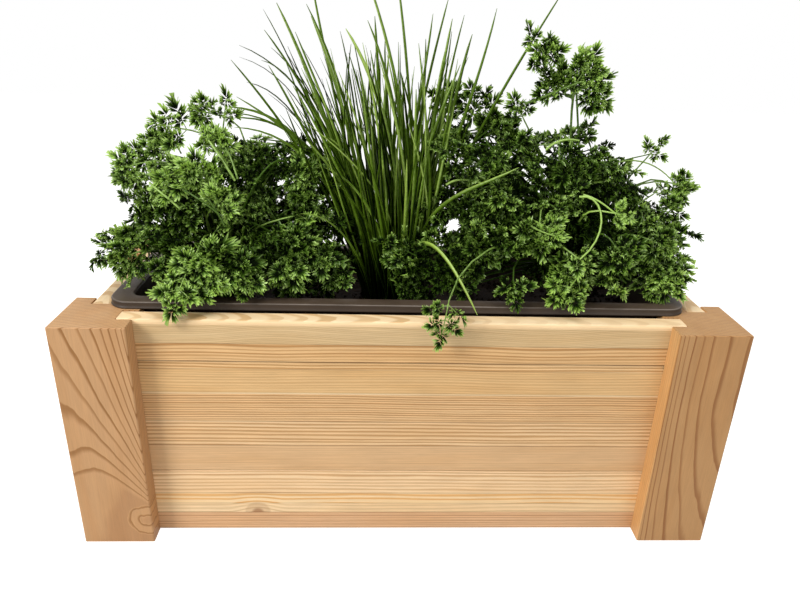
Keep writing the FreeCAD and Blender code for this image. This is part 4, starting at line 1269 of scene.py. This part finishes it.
# Each clump of fronds: middle, radii, count and tone
LEFT_CLUMPS = (
    # Seen from the front
    ((-146, 5, 388), (42, 34, 25), 26, 0.44),
    ((-217, -10, 352), (38, 34, 26), 22, 0.58),
    ((-266, -5, 344), (26, 34, 30), 18, 0.44),
    ((-284, -40, 304), (20, 28, 18), 12, 0.60),
    ((-208, -50, 310), (36, 26, 24), 16, 0.32),
    ((-130, -42, 318), (36, 30, 28), 18, 0.36),
    ((-100, 0, 338), (24, 30, 34), 14, 0.36),
    ((-150, -48, 284), (30, 18, 14), 10, 0.36),
    # Within and behind; the low tones of the clumps within are painted shade
    ((-205, -10, 306), (62, 50, 30), 24, 0.20),
    ((-118, -8, 292), (36, 48, 26), 16, 0.18),
    ((-232, 40, 330), (46, 30, 40), 16, 0.46),
    ((-140, 44, 330), (44, 30, 40), 16, 0.42),
)
RIGHT_CLUMPS = (
    # Seen from the front
    ((78, 0, 406), (34, 32, 26), 22, 0.46),
    ((173, 0, 404), (36, 34, 22), 20, 0.46),
    ((52, -8, 355), (24, 30, 28), 14, 0.38),
    ((123, -28, 362), (36, 28, 26), 20, 0.56),
    ((225, 8, 376), (32, 32, 22), 18, 0.44),
    ((277, 0, 330), (20, 34, 34), 18, 0.54),
    ((268, -42, 290), (18, 24, 18), 12, 0.56),
    ((108, -46, 328), (24, 24, 16), 16, 0.36),
    ((202, -50, 294), (36, 22, 14), 15, 0.44),
    ((39, -30, 300), (26, 28, 22), 13, 0.30),
    # Within and behind; the low tones of the clumps within are painted shade
    ((187, -14, 338), (40, 30, 36), 24, 0.20),
    ((110, -6, 318), (56, 40, 40), 24, 0.18),
    ((225, -6, 296), (60, 48, 26), 22, 0.18),
    ((110, 44, 340), (46, 30, 44), 16, 0.42),
    ((230, 42, 330), (46, 30, 40), 16, 0.44),
)


def make_parsley():
    """The two plants, each with clumps of fronds and the sprigs and stalks that stand out of them."""
    material = leaf_material(
        "parsley_leaf", (0.003, 0.007, 0.001), (0.056, 0.120, 0.010), (0.37, 0.58, 0.095), 0.10, 0.28
    )
    crown_depth = 2.0
    for side, crown_x, seed, clumps, sprigs, tall, stalks in (
        ("left", -204.0, 3, LEFT_CLUMPS, LEFT_FRONDS, (), LEFT_STALKS),
        ("right", 204.0, 8, RIGHT_CLUMPS, RIGHT_FRONDS, TALL_SPRIG, RIGHT_STALKS),
    ):
        plant = Parsley(seed)
        crown = np.array((crown_x, 0.0, SOIL_TOP - crown_depth))
        for middle, radii, fronds, shade in clumps:
            plant.add_clump(crown, middle, radii, fronds, shade)
        for foot, rows in ((crown, sprigs), (SPRIG_FORK, tall)):
            for base, tip, leaflet, shade, pairs, *normal in rows:
                plant.add_frond(foot, base, tip, normal[0] if normal else FRONT, leaflet, shade, pairs, True)
        for start, first_hand, second_hand, end, width, shade in stalks:
            path = bezier(start, first_hand, second_hand, end, steps=10)
            plant.add_stem(path, width, 0.8 * width, shade)
        plant.build(f"parsley_plant_{side}", f"parsley_{side}", material)


make_camera()
make_world()
make_floor()
make_softbox("key_light", (-1.7, -1.4, 1.5), 0.9, 44.0, 0.99)
make_softbox("top_light", (0.2, -0.2, 2.2), 1.2, 18.0, 1.0)
make_softbox("fill_light", (1.2, -1.8, 0.9), 1.2, 7.0, 0.98)
bpy.context.scene.view_settings.view_transform = "Standard"

dress_wood()
paint("corner_screws", zinc_steel())
make_liner()
make_soil()
make_chives()
make_parsley()
